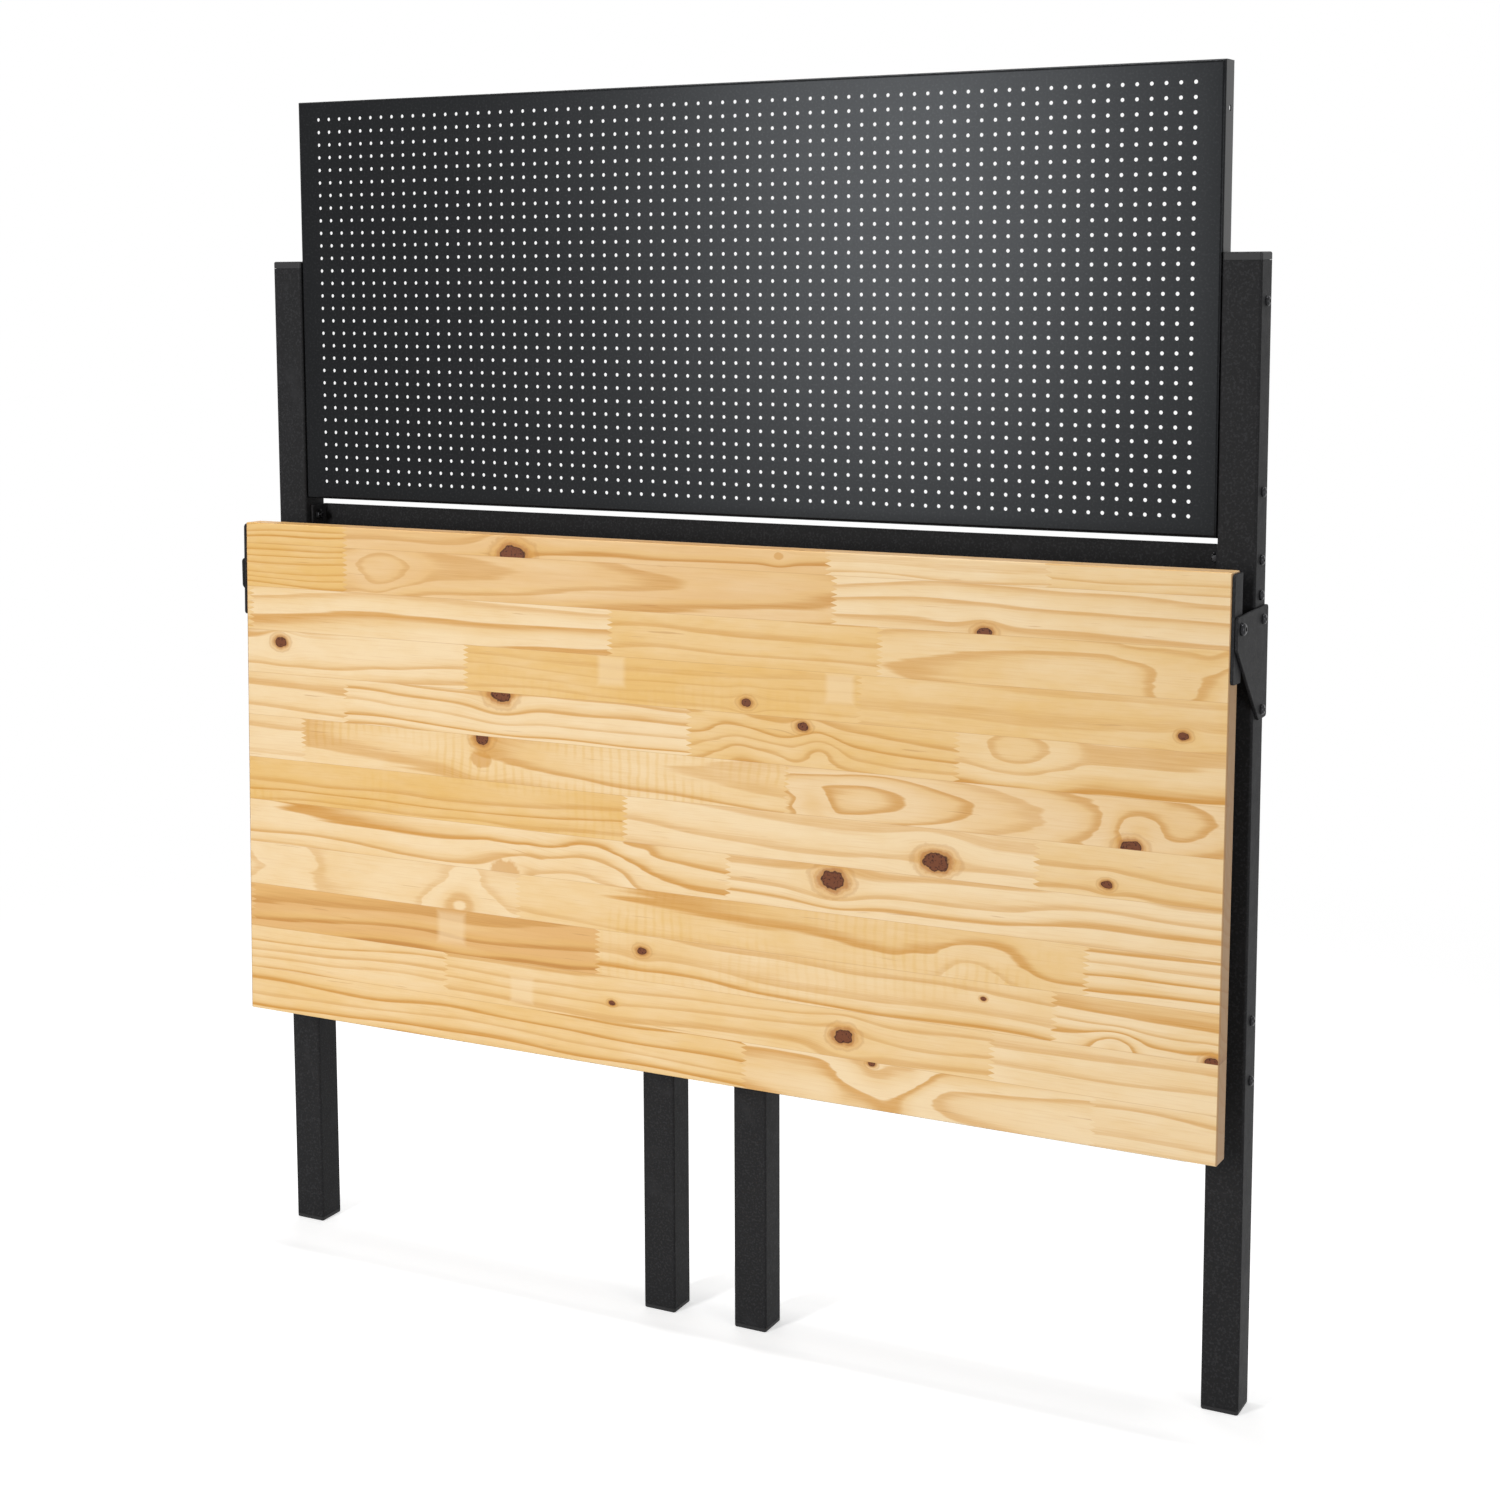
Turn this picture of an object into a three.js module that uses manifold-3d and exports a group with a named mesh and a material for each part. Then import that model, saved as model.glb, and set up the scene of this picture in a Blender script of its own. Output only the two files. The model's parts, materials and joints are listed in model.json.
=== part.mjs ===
// Folding workbench: two steel posts carry a perforated tool panel and a crossbar, a pine top
// hangs on two hinge plates in front of them, and two leg gates are folded in behind the top.
// Millimetres, +Z up, +Y towards the back. The bench stands folded, as it is stored.
import * as THREE from 'three';
import { RoundedBoxGeometry } from 'three/addons/geometries/RoundedBoxGeometry.js';
import { mergeVertices } from 'three/addons/utils/BufferGeometryUtils.js';
import Module from 'manifold-3d';

// Overall sizes
const frameWidth = 1206; // over the outer faces of the posts
const workHeight = 856; // upper face of the top when it is level
const seatGap = 0.3; // between pieces that touch

// Square steel tube of the posts and the gates
const tubeSize = 40;
const tubeWall = 2;
const tubeCorner = 3;
const boreCornerLeast = 0.5;

// Plastic ends of the tubes
const capHeight = 8;
const footHeight = 5;
const plugDepth = 14;
const capRounding = 3;

// Pine top
const topDepth = 600;
const topThickness = 28;
const topRounding = 1.5;
const hangAngle = 1.4; // degrees that the lower edge hangs forward of plumb
const pivotFromRear = 57; // pivot to the edge that is at the rear when the top is level
const swingClearance = 2.3; // from the turning top to the posts and the gates
const pivotPlay = 0.5; // between an end bracket and its hinge plate

// Brackets on the ends of the top
const bracketSheet = 3;
const bracketLength = 110;
const bracketFromRear = 2;
const bracketFlange = 30;
const bracketCorner = 5;

// Hinge plates on the posts
const plateSheet = 3;
const plateAbovePivot = 13;
const plateNose = 14; // pivot to the front edge
const plateNoseDrop = 20; // pivot down to the slanted edge
const plateFoot = 29; // width of the lower end
const plateBoltSpacing = 93;
const plateBelowBolt = 10;
const plateCorner = 4;

// Perforated panel, folded back along its four edges
const panelHeight = 478;
const panelSheet = 1.2;
const panelFlange = 30;
const panelFold = 2;
const panelSetback = 2; // behind the front of the posts
const panelSideGap = 0.5;
const panelAboveCrossbar = 9.5;
const panelFirstHole = 47.5; // lowest hole in a side flange, above the panel's lower edge
const panelHoleCount = 3; // the uppermost one is above the post and stays free
const panelFieldMargin = 12; // least sheet left round the field of openings
const hookHolePitch = 15;
const hookHoleDiameter = 4.2;
const hookHolesPerOpening = 6; // along each side of the square of holes that one opening stands for
const openingSides = 16;
const postAboveBolt = 49; // top of a post above the upper panel bolt

// Crossbar between the posts
const crossbarHeight = 60;
const crossbarSheet = 3;
const crossbarFlange = 30;
const crossbarBoltSpacing = 36;
const crossbarAboveHinge = 2;

// Leg gates
const gateRailHeight = 282; // floor to the lower rail
const gateCentreGap = 76; // between the two legs

// Butt hinges of the gates
const hingeSheet = 2.5;
const hingeOffset = 5; // axis to the post and to the gate
const hingeBehind = 2; // axis behind the front of the posts
const hingeOpenGap = 1; // gate to post when the gate is open
const hingePlay = 0.4; // knuckle to the post and the gate
const hingePinRadius = 2.3;
const hingeBarrel = 70;
const hingeLeafReach = 36;
const hingeLeafMargin = 10; // leaf beyond its bolts
const lowerHingeAboveRail = 68; // middle of the lower hinge above the lower rail
const lowerHingeBoltSpacing = 64;
const pinHeadRadius = 3.6;
const pinHeadHeight = 1.6;

// Fasteners
const boltRadius = 3;
const boltHeadRadius = 5.25;
const boltHeadHeight = 3.3;
const nutRadius = 5.8; // over the corners
const nutHeight = 5;
const boltTail = 2; // thread beyond the nut
const pivotRadius = 4;
const pivotHeadRadius = 6.5;
const pivotHeadHeight = 4.2;
const pivotInTop = 18; // how far the pivot bolt reaches into the wood
const screwRadius = 2;
const screwHeadRadius = 4;
const screwLength = 18;
const screwSpacing = 70;
const holeClearance = 0.3;

// Rubber bumpers on the gate legs, which hold the top off plumb
const bumperRadius = 12;
const bumperChamfer = 2;
const bumperAboveEdge = 32; // above the lower edge of the top

// Fineness of the round stretches
const cornerSteps = 3;
const edgeSteps = 2;
const roundSides = 12;
const nutSides = 6;
const domeSteps = [0.3, 0.6, 0.85]; // shares of a quarter turn, from the rim of a bolt head up
const weldDistance = 1e-4; // corners of a mesh that are nearer than this are one

// Places worked out from the sizes above
const postInner = frameWidth / 2 - tubeSize;
const postCentreX = frameWidth / 2 - tubeSize / 2;
const postCentreY = tubeSize / 2;
const plateInner = frameWidth / 2 + seatGap;
const plateOuter = plateInner + plateSheet;

const gateEnd = postInner - hingeOffset - hingeBehind - hingeOpenGap;
const gateBack = hingeBehind - hingeOffset;
const gateCentreY = gateBack - tubeSize / 2;
const gateLegX = gateCentreGap / 2 + tubeSize / 2;
const gateTop = workHeight - topThickness - bracketSheet - 2 * seatGap;

const rearCornerReach = Math.hypot(pivotFromRear, topThickness / 2);
const gateReach = tubeSize - gateBack + topThickness / 2;
const pivotY = -(Math.max(rearCornerReach, gateReach) + swingClearance);
const pivotZ = workHeight - topThickness / 2;
const hang = THREE.MathUtils.degToRad(hangAngle);
const topWidth = 2 * (plateInner - pivotPlay - bracketSheet - seatGap);

const plateBolts = [pivotZ - plateBoltSpacing, pivotZ];
const lowerHingeMiddle = gateRailHeight + tubeSize + lowerHingeAboveRail;
const lowerHingeBolts = [-1, 1].map((end) => lowerHingeMiddle + end * lowerHingeBoltSpacing / 2);
const crossbarBottom = pivotZ + hingeLeafMargin + crossbarAboveHinge;
const crossbarMiddle = crossbarBottom + crossbarHeight / 2;
const crossbarBolts = [-1, 1].map((end) => crossbarMiddle + end * crossbarBoltSpacing / 2);
const panelBottom = crossbarBottom + crossbarHeight + panelAboveCrossbar;
const panelHoleSpacing = (panelHeight - 2 * panelFirstHole) / (panelHoleCount - 1);
const panelHoles = Array.from(
  { length: panelHoleCount },
  (_, row) => panelBottom + panelFirstHole + row * panelHoleSpacing,
);
const panelBolts = panelHoles.slice(0, 2);
const openingPitch = hookHolePitch * hookHolesPerOpening;
const openingRadius = hookHolesPerOpening * hookHoleDiameter / 2; // the same open area as its holes
const postTop = panelBolts[1] + postAboveBolt;

// Materials
const paint = { color: 0x1d1d1f, roughness: 0.55, metalness: 0.2 };
const powderCoat = new THREE.MeshStandardMaterial(paint);
const panelCoat = new THREE.MeshStandardMaterial({ ...paint, color: 0x222326 });
const pine = new THREE.MeshStandardMaterial({ color: 0xe3bf80, roughness: 0.5 });
const blackPlastic = new THREE.MeshStandardMaterial({ color: 0x161617, roughness: 0.6 });
const blackSteel = new THREE.MeshStandardMaterial({ color: 0x1a1a1b, roughness: 0.4, metalness: 0.8 });
const zincSteel = new THREE.MeshStandardMaterial({ color: 0xb9bcc0, roughness: 0.35, metalness: 1 });
const rubber = new THREE.MeshStandardMaterial({ color: 0x121212, roughness: 0.9 });

// Joining and cutting
const wasm = await Module();
wasm.setup();

function solid(geometry) {
  const bare = geometry.clone();
  bare.deleteAttribute('normal');
  bare.deleteAttribute('uv');
  const merged = mergeVertices(bare, weldDistance);
  return new wasm.Manifold(new wasm.Mesh({
    numProp: 3,
    vertProperties: new Float32Array(merged.attributes.position.array),
    triVerts: new Uint32Array(merged.index.array),
  }));
}

function geometryOf(body) {
  const mesh = body.getMesh();
  const geometry = new THREE.BufferGeometry();
  geometry.setAttribute('position', new THREE.BufferAttribute(mesh.vertProperties, 3));
  geometry.setIndex(new THREE.BufferAttribute(mesh.triVerts, 1));
  const faceted = geometry.toNonIndexed();
  faceted.computeVertexNormals();
  return faceted;
}

function cut(geometry, tools) {
  const cutters = tools.map(solid);
  return geometryOf(cutters.reduce((body, cutter) => body.subtract(cutter), solid(geometry)));
}

function join(geometries) {
  const bodies = geometries.map(solid);
  return geometryOf(bodies.reduce((whole, body) => whole.add(body)));
}

// Basic shapes
function boxBetween(low, high) {
  const size = high.map((value, axis) => value - low[axis]);
  const middle = high.map((value, axis) => (value + low[axis]) / 2);
  return new THREE.BoxGeometry(...size).translate(...middle);
}

function rodAlongX(radius, from, to, y, z, sides = roundSides) {
  const rod = new THREE.CylinderGeometry(radius, radius, to - from, sides);
  return rod.rotateZ(Math.PI / 2).translate((from + to) / 2, y, z);
}

function rodAlongZ(radius, from, to, x, y) {
  const rod = new THREE.CylinderGeometry(radius, radius, to - from, roundSides);
  return rod.rotateX(Math.PI / 2).translate(x, y, (from + to) / 2);
}

// Holes for bolts through the sides of the frame, at these heights
function boltHoles(heights) {
  const radius = boltRadius + holeClearance;
  return heights.map((height) => rodAlongX(radius, -frameWidth, frameWidth, postCentreY, height));
}

function roundedOutline(corners, radius) {
  const shape = new THREE.Shape();
  corners.forEach(([x, y], index) => {
    const here = new THREE.Vector2(x, y);
    const towards = (corner) => new THREE.Vector2(...corner).sub(here).setLength(radius).add(here);
    const before = towards(corners.at(index - 1));
    const after = towards(corners[(index + 1) % corners.length]);
    if (index === 0) shape.moveTo(before.x, before.y);
    else shape.lineTo(before.x, before.y);
    shape.quadraticCurveTo(x, y, after.x, after.y);
  });
  shape.closePath();
  return shape;
}

function rectangle(width, height) {
  return [[-1, -1], [1, -1], [1, 1], [-1, 1]].map(([x, y]) => [x * width / 2, y * height / 2]);
}

function extrude(shape, depth) {
  return new THREE.ExtrudeGeometry(shape, { depth, bevelEnabled: false, curveSegments: cornerSteps });
}

// A plate whose outline is drawn in Y and Z, between two places on X
function plateAcrossX(outline, radius, from, to) {
  const [near, far] = [Math.min(from, to), Math.max(from, to)];
  const upright = new THREE.Matrix4().makeBasis(
    new THREE.Vector3(0, 1, 0),
    new THREE.Vector3(0, 0, 1),
    new THREE.Vector3(1, 0, 0),
  );
  const plate = extrude(roundedOutline(outline, radius), far - near);
  return plate.applyMatrix4(upright).translate(near, 0, 0);
}

// A tube from low to high on Z. An end is square, or cut at 45 degrees with its long side on
// the side of X that its lean points to.
function tube(low, high, lowLean = 0, highLean = 0) {
  const bore = tubeSize - 2 * tubeWall;
  const boreCorner = Math.max(tubeCorner - tubeWall, boreCornerLeast);
  const section = roundedOutline(rectangle(tubeSize, tubeSize), tubeCorner);
  section.holes.push(roundedOutline(rectangle(bore, bore), boreCorner));
  const geometry = extrude(section, high - low).translate(0, 0, low);
  const position = geometry.attributes.position;
  for (let i = 0; i < position.count; i += 1) {
    const atTop = position.getZ(i) > (low + high) / 2;
    const lean = atTop ? highLean : lowLean;
    const setback = Math.abs(lean) * (tubeSize / 2 + seatGap) - lean * position.getX(i);
    position.setZ(i, position.getZ(i) + (atTop ? -setback : setback));
  }
  return geometry;
}

// Ends of the tubes: a rounded head on a plug that fits the bore
function tubeEnd(height) {
  const head = new RoundedBoxGeometry(tubeSize, tubeSize, 2 * height, edgeSteps, capRounding);
  const lowerHalf = boxBetween([-tubeSize, -tubeSize, -2 * height], [tubeSize, tubeSize, 0]);
  const plugHalf = tubeSize / 2 - tubeWall - seatGap;
  const plug = boxBetween([-plugHalf, -plugHalf, -plugDepth], [plugHalf, plugHalf, height / 2]);
  return join([cut(head, [lowerHalf]), plug]);
}

// Fasteners, drawn along Y with the seat of the head at zero
function lathe(profile) {
  return new THREE.LatheGeometry(profile.map(([x, y]) => new THREE.Vector2(x, y)), roundSides);
}

function domedBolt(radius, length, headRadius, headHeight) {
  const dome = domeSteps.map((turn) => {
    const angle = turn * Math.PI / 2;
    return [headRadius * Math.cos(angle), headHeight * Math.sin(angle)];
  });
  return lathe([
    [0, -length], [radius, -length], [radius, 0], [headRadius, 0], ...dome, [0, headHeight],
  ]);
}

function boltWithNut(grip) {
  const length = grip + nutHeight + boltTail;
  const nut = new THREE.CylinderGeometry(nutRadius, nutRadius, nutHeight, nutSides);
  nut.translate(0, -grip - nutHeight / 2, 0);
  return join([domedBolt(boltRadius, length, boltHeadRadius, boltHeadHeight), nut]);
}

function countersunkScrew(grow = 0) {
  const headDepth = screwHeadRadius - screwRadius;
  const tip = -screwLength - grow;
  const [shank, head] = [screwRadius + grow, screwHeadRadius + grow];
  return lathe([[0, tip], [shank, tip], [shank, -headDepth], [head, 0], [head, grow], [0, grow]]);
}

// The bench and its hanging top
const bench = new THREE.Group();
const hangingTop = new THREE.Group();
hangingTop.position.set(0, pivotY, pivotZ);
hangingTop.rotation.x = -hang;
bench.add(hangingTop);

function add(group, name, geometry, material, x = 0, y = 0, z = 0) {
  const mesh = new THREE.Mesh(geometry, material);
  mesh.name = name;
  mesh.position.set(x, y, z);
  group.add(mesh);
  return mesh;
}

const sides = [['left', -1], ['right', 1]];

// Posts with their holes, caps and feet
function addPost(name, side) {
  const x = side * postCentreX;
  const post = tube(footHeight + seatGap, postTop - capHeight - seatGap).translate(x, postCentreY, 0);
  const holes = boltHoles([...lowerHingeBolts, ...plateBolts, ...crossbarBolts, ...panelBolts]);
  add(bench, `${name}_post`, cut(post, holes), powderCoat);
  add(bench, `${name}_post_cap`, tubeEnd(capHeight), blackPlastic, x, postCentreY, postTop - capHeight);
  addFoot(`${name}_post_foot`, x, postCentreY);
}

function addFoot(name, x, y) {
  const foot = add(bench, name, tubeEnd(footHeight), blackPlastic, x, y, footHeight);
  foot.rotation.x = Math.PI;
}

// Openings through the face of the panel, in a centred grid, each in place of a square of hook holes
function panelOpenings(width, middle) {
  const columns = Math.floor((width - 2 * panelFieldMargin) / openingPitch);
  const rows = Math.floor((panelHeight - 2 * panelFieldMargin) / openingPitch);
  const openings = [];
  for (let column = 0; column < columns; column += 1) {
    for (let row = 0; row < rows; row += 1) {
      const x = (column - (columns - 1) / 2) * openingPitch;
      const z = middle + (row - (rows - 1) / 2) * openingPitch;
      const opening = new THREE.CylinderGeometry(openingRadius, openingRadius, tubeSize, openingSides);
      openings.push(opening.translate(x, panelSetback, z));
    }
  }
  return openings;
}

// Perforated panel: a shallow tray, open at the back
function addPanel() {
  const halfWidth = postInner - panelSideGap;
  const back = panelSetback + panelFlange;
  const middle = panelBottom + panelHeight / 2;
  const outer = new RoundedBoxGeometry(2 * halfWidth, 2 * panelFlange, panelHeight, edgeSteps, panelFold);
  outer.translate(0, back, middle);
  const hollow = boxBetween(
    [-halfWidth + panelSheet, panelSetback + panelSheet, panelBottom + panelSheet],
    [halfWidth - panelSheet, back + tubeSize, panelBottom + panelHeight - panelSheet],
  );
  const rearHalf = boxBetween(
    [-frameWidth, back, panelBottom - tubeSize],
    [frameWidth, back + frameWidth, panelBottom + panelHeight + tubeSize],
  );
  const openings = panelOpenings(2 * halfWidth, middle);
  const tray = cut(outer, [hollow, rearHalf, ...boltHoles(panelHoles), ...openings]);
  add(bench, 'perforated_panel', tray, panelCoat);
}

// Crossbar: a flat web at the back of the posts, with its ends bent forward against them
function addCrossbar() {
  const end = postInner - seatGap;
  const endInner = end - crossbarSheet;
  const back = tubeSize;
  const webFront = back - crossbarSheet;
  const front = back - crossbarFlange;
  const profile = new THREE.Shape([
    [-end, back], [-end, front], [-endInner, front], [-endInner, webFront],
    [endInner, webFront], [endInner, front], [end, front], [end, back],
  ].map(([x, y]) => new THREE.Vector2(x, y)));
  const bar = extrude(profile, crossbarHeight).translate(0, 0, crossbarBottom);
  add(bench, 'crossbar', cut(bar, boltHoles(crossbarBolts)), powderCoat);
}

// Hinge plates, one on the outer face of each post
function addHingePlate(name, side) {
  const back = tubeSize;
  const top = pivotZ + plateAbovePivot;
  const bottom = plateBolts[0] - plateBelowBolt;
  const nose = pivotY - plateNose;
  const outline = [
    [back, bottom], [back, top], [nose, top], [nose, pivotZ - plateNoseDrop], [back - plateFoot, bottom],
  ];
  const pivotHole = rodAlongX(pivotRadius + holeClearance, -frameWidth, frameWidth, pivotY, pivotZ);
  const plate = plateAcrossX(outline, plateCorner, side * plateInner, side * plateOuter);
  add(bench, `${name}_hinge_plate`, cut(plate, [...boltHoles(plateBolts), pivotHole]), powderCoat);
}

// Bolts through a post, with the head outside and the nut on the sheet inside
function addPostBolts(name, side, label, heights, headSeat, nutSeat) {
  const grip = headSeat - nutSeat + seatGap;
  heights.forEach((height, index) => {
    const boltName = `${name}_${label}_bolt_${index === 0 ? 'lower' : 'upper'}`;
    const bolt = add(bench, boltName, boltWithNut(grip), blackSteel, side * headSeat, postCentreY, height);
    bolt.rotation.z = -side * Math.PI / 2;
  });
}

function addBolts(name, side) {
  const postSeat = frameWidth / 2 + seatGap;
  const panelSeat = postInner - panelSideGap - panelSheet;
  const crossbarSeat = postInner - seatGap - crossbarSheet;
  const hingeSeat = postInner - seatGap - hingeSheet;
  addPostBolts(name, side, 'panel', panelBolts, postSeat, panelSeat);
  addPostBolts(name, side, 'crossbar', crossbarBolts, postSeat, crossbarSeat);
  addPostBolts(name, side, 'plate', plateBolts, plateOuter + seatGap, hingeSeat);
  addPostBolts(name, side, 'gate_hinge', lowerHingeBolts, postSeat, hingeSeat);
  const pivotSeat = plateOuter + seatGap;
  const pivotLength = pivotSeat - topWidth / 2 + pivotInTop;
  const pivotBolt = domedBolt(pivotRadius, pivotLength, pivotHeadRadius, pivotHeadHeight);
  const pivot = add(bench, `${name}_pivot_bolt`, pivotBolt, blackSteel, side * pivotSeat, pivotY, pivotZ);
  pivot.rotation.z = -side * Math.PI / 2;
}

// Leg gates: welded frames with mitred corners, folded flat in front of the posts
function addGate(name, side) {
  const legOuter = gateLegX + tubeSize / 2;
  const stileX = gateEnd - tubeSize / 2;
  const leg = tube(footHeight + seatGap, gateTop, 0, -side);
  add(bench, `${name}_gate_leg`, leg, powderCoat, side * gateLegX, gateCentreY);
  addFoot(`${name}_gate_foot`, side * gateLegX, gateCentreY);
  const stile = tube(gateRailHeight, gateTop, side, side);
  add(bench, `${name}_gate_stile`, stile, powderCoat, side * stileX, gateCentreY);
  const upperRail = tube(gateCentreGap / 2, gateEnd, -side, -side);
  addRail(`${name}_gate_upper_rail`, upperRail, side, gateTop - tubeSize / 2);
  const lowerRail = tube(legOuter + seatGap, gateEnd, 0, side);
  addRail(`${name}_gate_lower_rail`, lowerRail, side, gateRailHeight + tubeSize / 2);
}

function addRail(name, geometry, side, height) {
  const rail = add(bench, name, geometry, powderCoat, 0, gateCentreY, height);
  rail.rotation.y = side * Math.PI / 2;
}

// Butt hinge between a post and its gate: the post leaf has the two outer knuckles
function addGateHinge(name, side, label, bolts, barrelMiddle) {
  const axisX = side * (postInner - hingeOffset);
  const axisY = hingeBehind;
  const knuckleRadius = hingeOffset - hingePlay;
  const knuckleLength = hingeBarrel / 3;
  const barrelLow = barrelMiddle - hingeBarrel / 2;
  const knuckleLow = (index) => barrelLow + index * knuckleLength + seatGap / 2;
  const knuckleHigh = (index) => knuckleLow(index + 1) - seatGap;
  const knuckle = (index) => rodAlongZ(knuckleRadius, knuckleLow(index), knuckleHigh(index), axisX, axisY);
  const middleRoom = rodAlongZ(hingeOffset, knuckleHigh(0), knuckleLow(2), axisX, axisY);
  const bore = rodAlongZ(hingePinRadius + holeClearance, 0, postTop, axisX, axisY);

  const leafFace = postInner - seatGap;
  const [leafLow, leafHigh] = [bolts[0] - hingeLeafMargin, bolts[1] + hingeLeafMargin];
  const leafBack = axisY + hingeLeafReach;
  const postPlate = plateAcrossX(
    [[axisY, leafLow], [leafBack, leafLow], [leafBack, leafHigh], [axisY, leafHigh]],
    hingeSheet,
    side * leafFace,
    side * (leafFace - hingeSheet),
  );
  const pinRoom = rodAlongZ(pinHeadRadius + holeClearance, 0, postTop, axisX, axisY);
  const postKnuckles = join([cut(postPlate, [pinRoom]), knuckle(0), knuckle(2)]);
  const postLeaf = cut(postKnuckles, [middleRoom, bore, ...boltHoles(bolts)]);
  add(bench, `${name}_${label}_hinge_post_leaf`, postLeaf, powderCoat);

  const xs = [axisX, axisX - side * hingeLeafReach].sort((a, b) => a - b);
  const gatePlate = boxBetween(
    [xs[0], gateBack + seatGap, knuckleLow(1)],
    [xs[1], gateBack + seatGap + hingeSheet, knuckleHigh(1)],
  );
  const gateLeaf = cut(join([gatePlate, knuckle(1)]), [bore]);
  add(bench, `${name}_${label}_hinge_gate_leaf`, gateLeaf, powderCoat);

  const half = hingeBarrel / 2 + seatGap;
  const pin = lathe([
    [0, -half - pinHeadHeight], [pinHeadRadius, -half - pinHeadHeight], [pinHeadRadius, -half],
    [hingePinRadius, -half], [hingePinRadius, half],
    [pinHeadRadius, half], [pinHeadRadius, half + pinHeadHeight], [0, half + pinHeadHeight],
  ]);
  const pinMesh = add(bench, `${name}_${label}_hinge_pin`, pin, zincSteel, axisX, axisY, barrelMiddle);
  pinMesh.rotation.x = Math.PI / 2;
}

// Pine top, in its own frame: the pivot is at zero and the rear edge is up
function addTop() {
  const board = new RoundedBoxGeometry(topWidth, topThickness, topDepth, edgeSteps, topRounding);
  board.translate(0, 0, pivotFromRear - topDepth / 2);
  const bores = sides.map(([, side]) => {
    const blindEnd = topWidth / 2 - pivotInTop - holeClearance;
    const ends = [side * topWidth, side * blindEnd].sort((a, b) => a - b);
    return rodAlongX(pivotRadius + holeClearance, ends[0], ends[1], 0, 0);
  });
  const pilots = sides.flatMap(([, side]) => screwPlaces(side)).map(
    ([x, y, z]) => countersunkScrew(holeClearance).translate(x, y, z),
  );
  add(hangingTop, 'bench_top', cut(board, [...bores, ...pilots]), pine);
}

// Seats of the two screws in the flange of an end bracket
function screwPlaces(side) {
  const x = side * (topWidth / 2 - bracketFlange / 2);
  const y = topThickness / 2 + seatGap + bracketSheet;
  const middle = pivotFromRear - bracketFromRear - bracketLength / 2;
  return [-1, 1].map((end) => [x, y, middle + end * screwSpacing / 2]);
}

// End bracket: an angle on the end and the underside of the top
function addTopBracket(name, side) {
  const high = pivotFromRear - bracketFromRear;
  const low = high - bracketLength;
  const front = -topThickness / 2;
  const flangeFace = topThickness / 2 + seatGap;
  const endFace = topWidth / 2 + seatGap;
  const endPlate = plateAcrossX(
    [[front, low], [flangeFace + bracketSheet, low], [flangeFace + bracketSheet, high], [front, high]],
    bracketCorner,
    side * endFace,
    side * (endFace + bracketSheet),
  );
  const flangeEnds = [topWidth / 2 - bracketFlange, endFace + bracketSheet];
  const xs = flangeEnds.map((end) => side * end).sort((a, b) => a - b);
  const flange = boxBetween(
    [xs[0], flangeFace, low + bracketCorner],
    [xs[1], flangeFace + bracketSheet, high - bracketCorner],
  );
  const holes = screwPlaces(side).map(([x, y, z]) => countersunkScrew(holeClearance).translate(x, y, z));
  holes.push(rodAlongX(pivotRadius + holeClearance, -topWidth, topWidth, 0, 0));
  add(hangingTop, `${name}_top_bracket`, cut(join([endPlate, flange]), holes), powderCoat);
  screwPlaces(side).forEach(([x, y, z], index) => {
    const end = index === 0 ? 'front' : 'rear';
    add(hangingTop, `${name}_bracket_screw_${end}`, countersunkScrew(), zincSteel, x, y, z);
  });
}

// Bumper between a gate leg and the hanging top
function addBumper(name, side) {
  const lowerEdge = pivotZ - (topDepth - pivotFromRear) * Math.cos(hang);
  const height = lowerEdge + bumperAboveEdge;
  const backOfTop = (z) => pivotY + topThickness / 2 / Math.cos(hang) - (pivotZ - z) * Math.tan(hang);
  const legFront = gateBack - tubeSize - seatGap;
  const tip = backOfTop(height + bumperRadius) + seatGap;
  const length = legFront - tip;
  const bumper = lathe([
    [0, 0], [bumperRadius, 0], [bumperRadius, length - bumperChamfer],
    [bumperRadius - bumperChamfer, length], [0, length],
  ]);
  const mesh = add(bench, `${name}_bumper`, bumper, rubber, side * gateLegX, legFront, height);
  mesh.rotation.x = Math.PI;
}

addPanel();
addCrossbar();
addTop();
for (const [name, side] of sides) {
  addPost(name, side);
  addHingePlate(name, side);
  addBolts(name, side);
  addGate(name, side);
  addGateHinge(name, side, 'upper', plateBolts, plateBolts[0] + hingeBarrel / 2 - hingeLeafMargin);
  addGateHinge(name, side, 'lower', lowerHingeBolts, lowerHingeMiddle);
  addTopBracket(name, side);
  addBumper(name, side);
}

// Stand the bench with the middle of its footprint on the origin
bench.updateMatrixWorld(true);
const reach = new THREE.Box3().setFromObject(bench, true);
bench.position.y = -(reach.min.y + reach.max.y) / 2;

export default bench;
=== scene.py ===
"""Finished surfaces of a folding workbench, built around the solids of its frame.

Lengths are metres, and mm() turns millimetres into them. X runs along the bench, Y to the back, Z up.
"""
import json
import math
import random
from collections import namedtuple

import bmesh
import bpy
from bpy.props import FloatProperty, FloatVectorProperty, IntProperty, PointerProperty
from mathutils import Matrix, Vector
from mathutils.geometry import delaunay_2d_cdt


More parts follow.
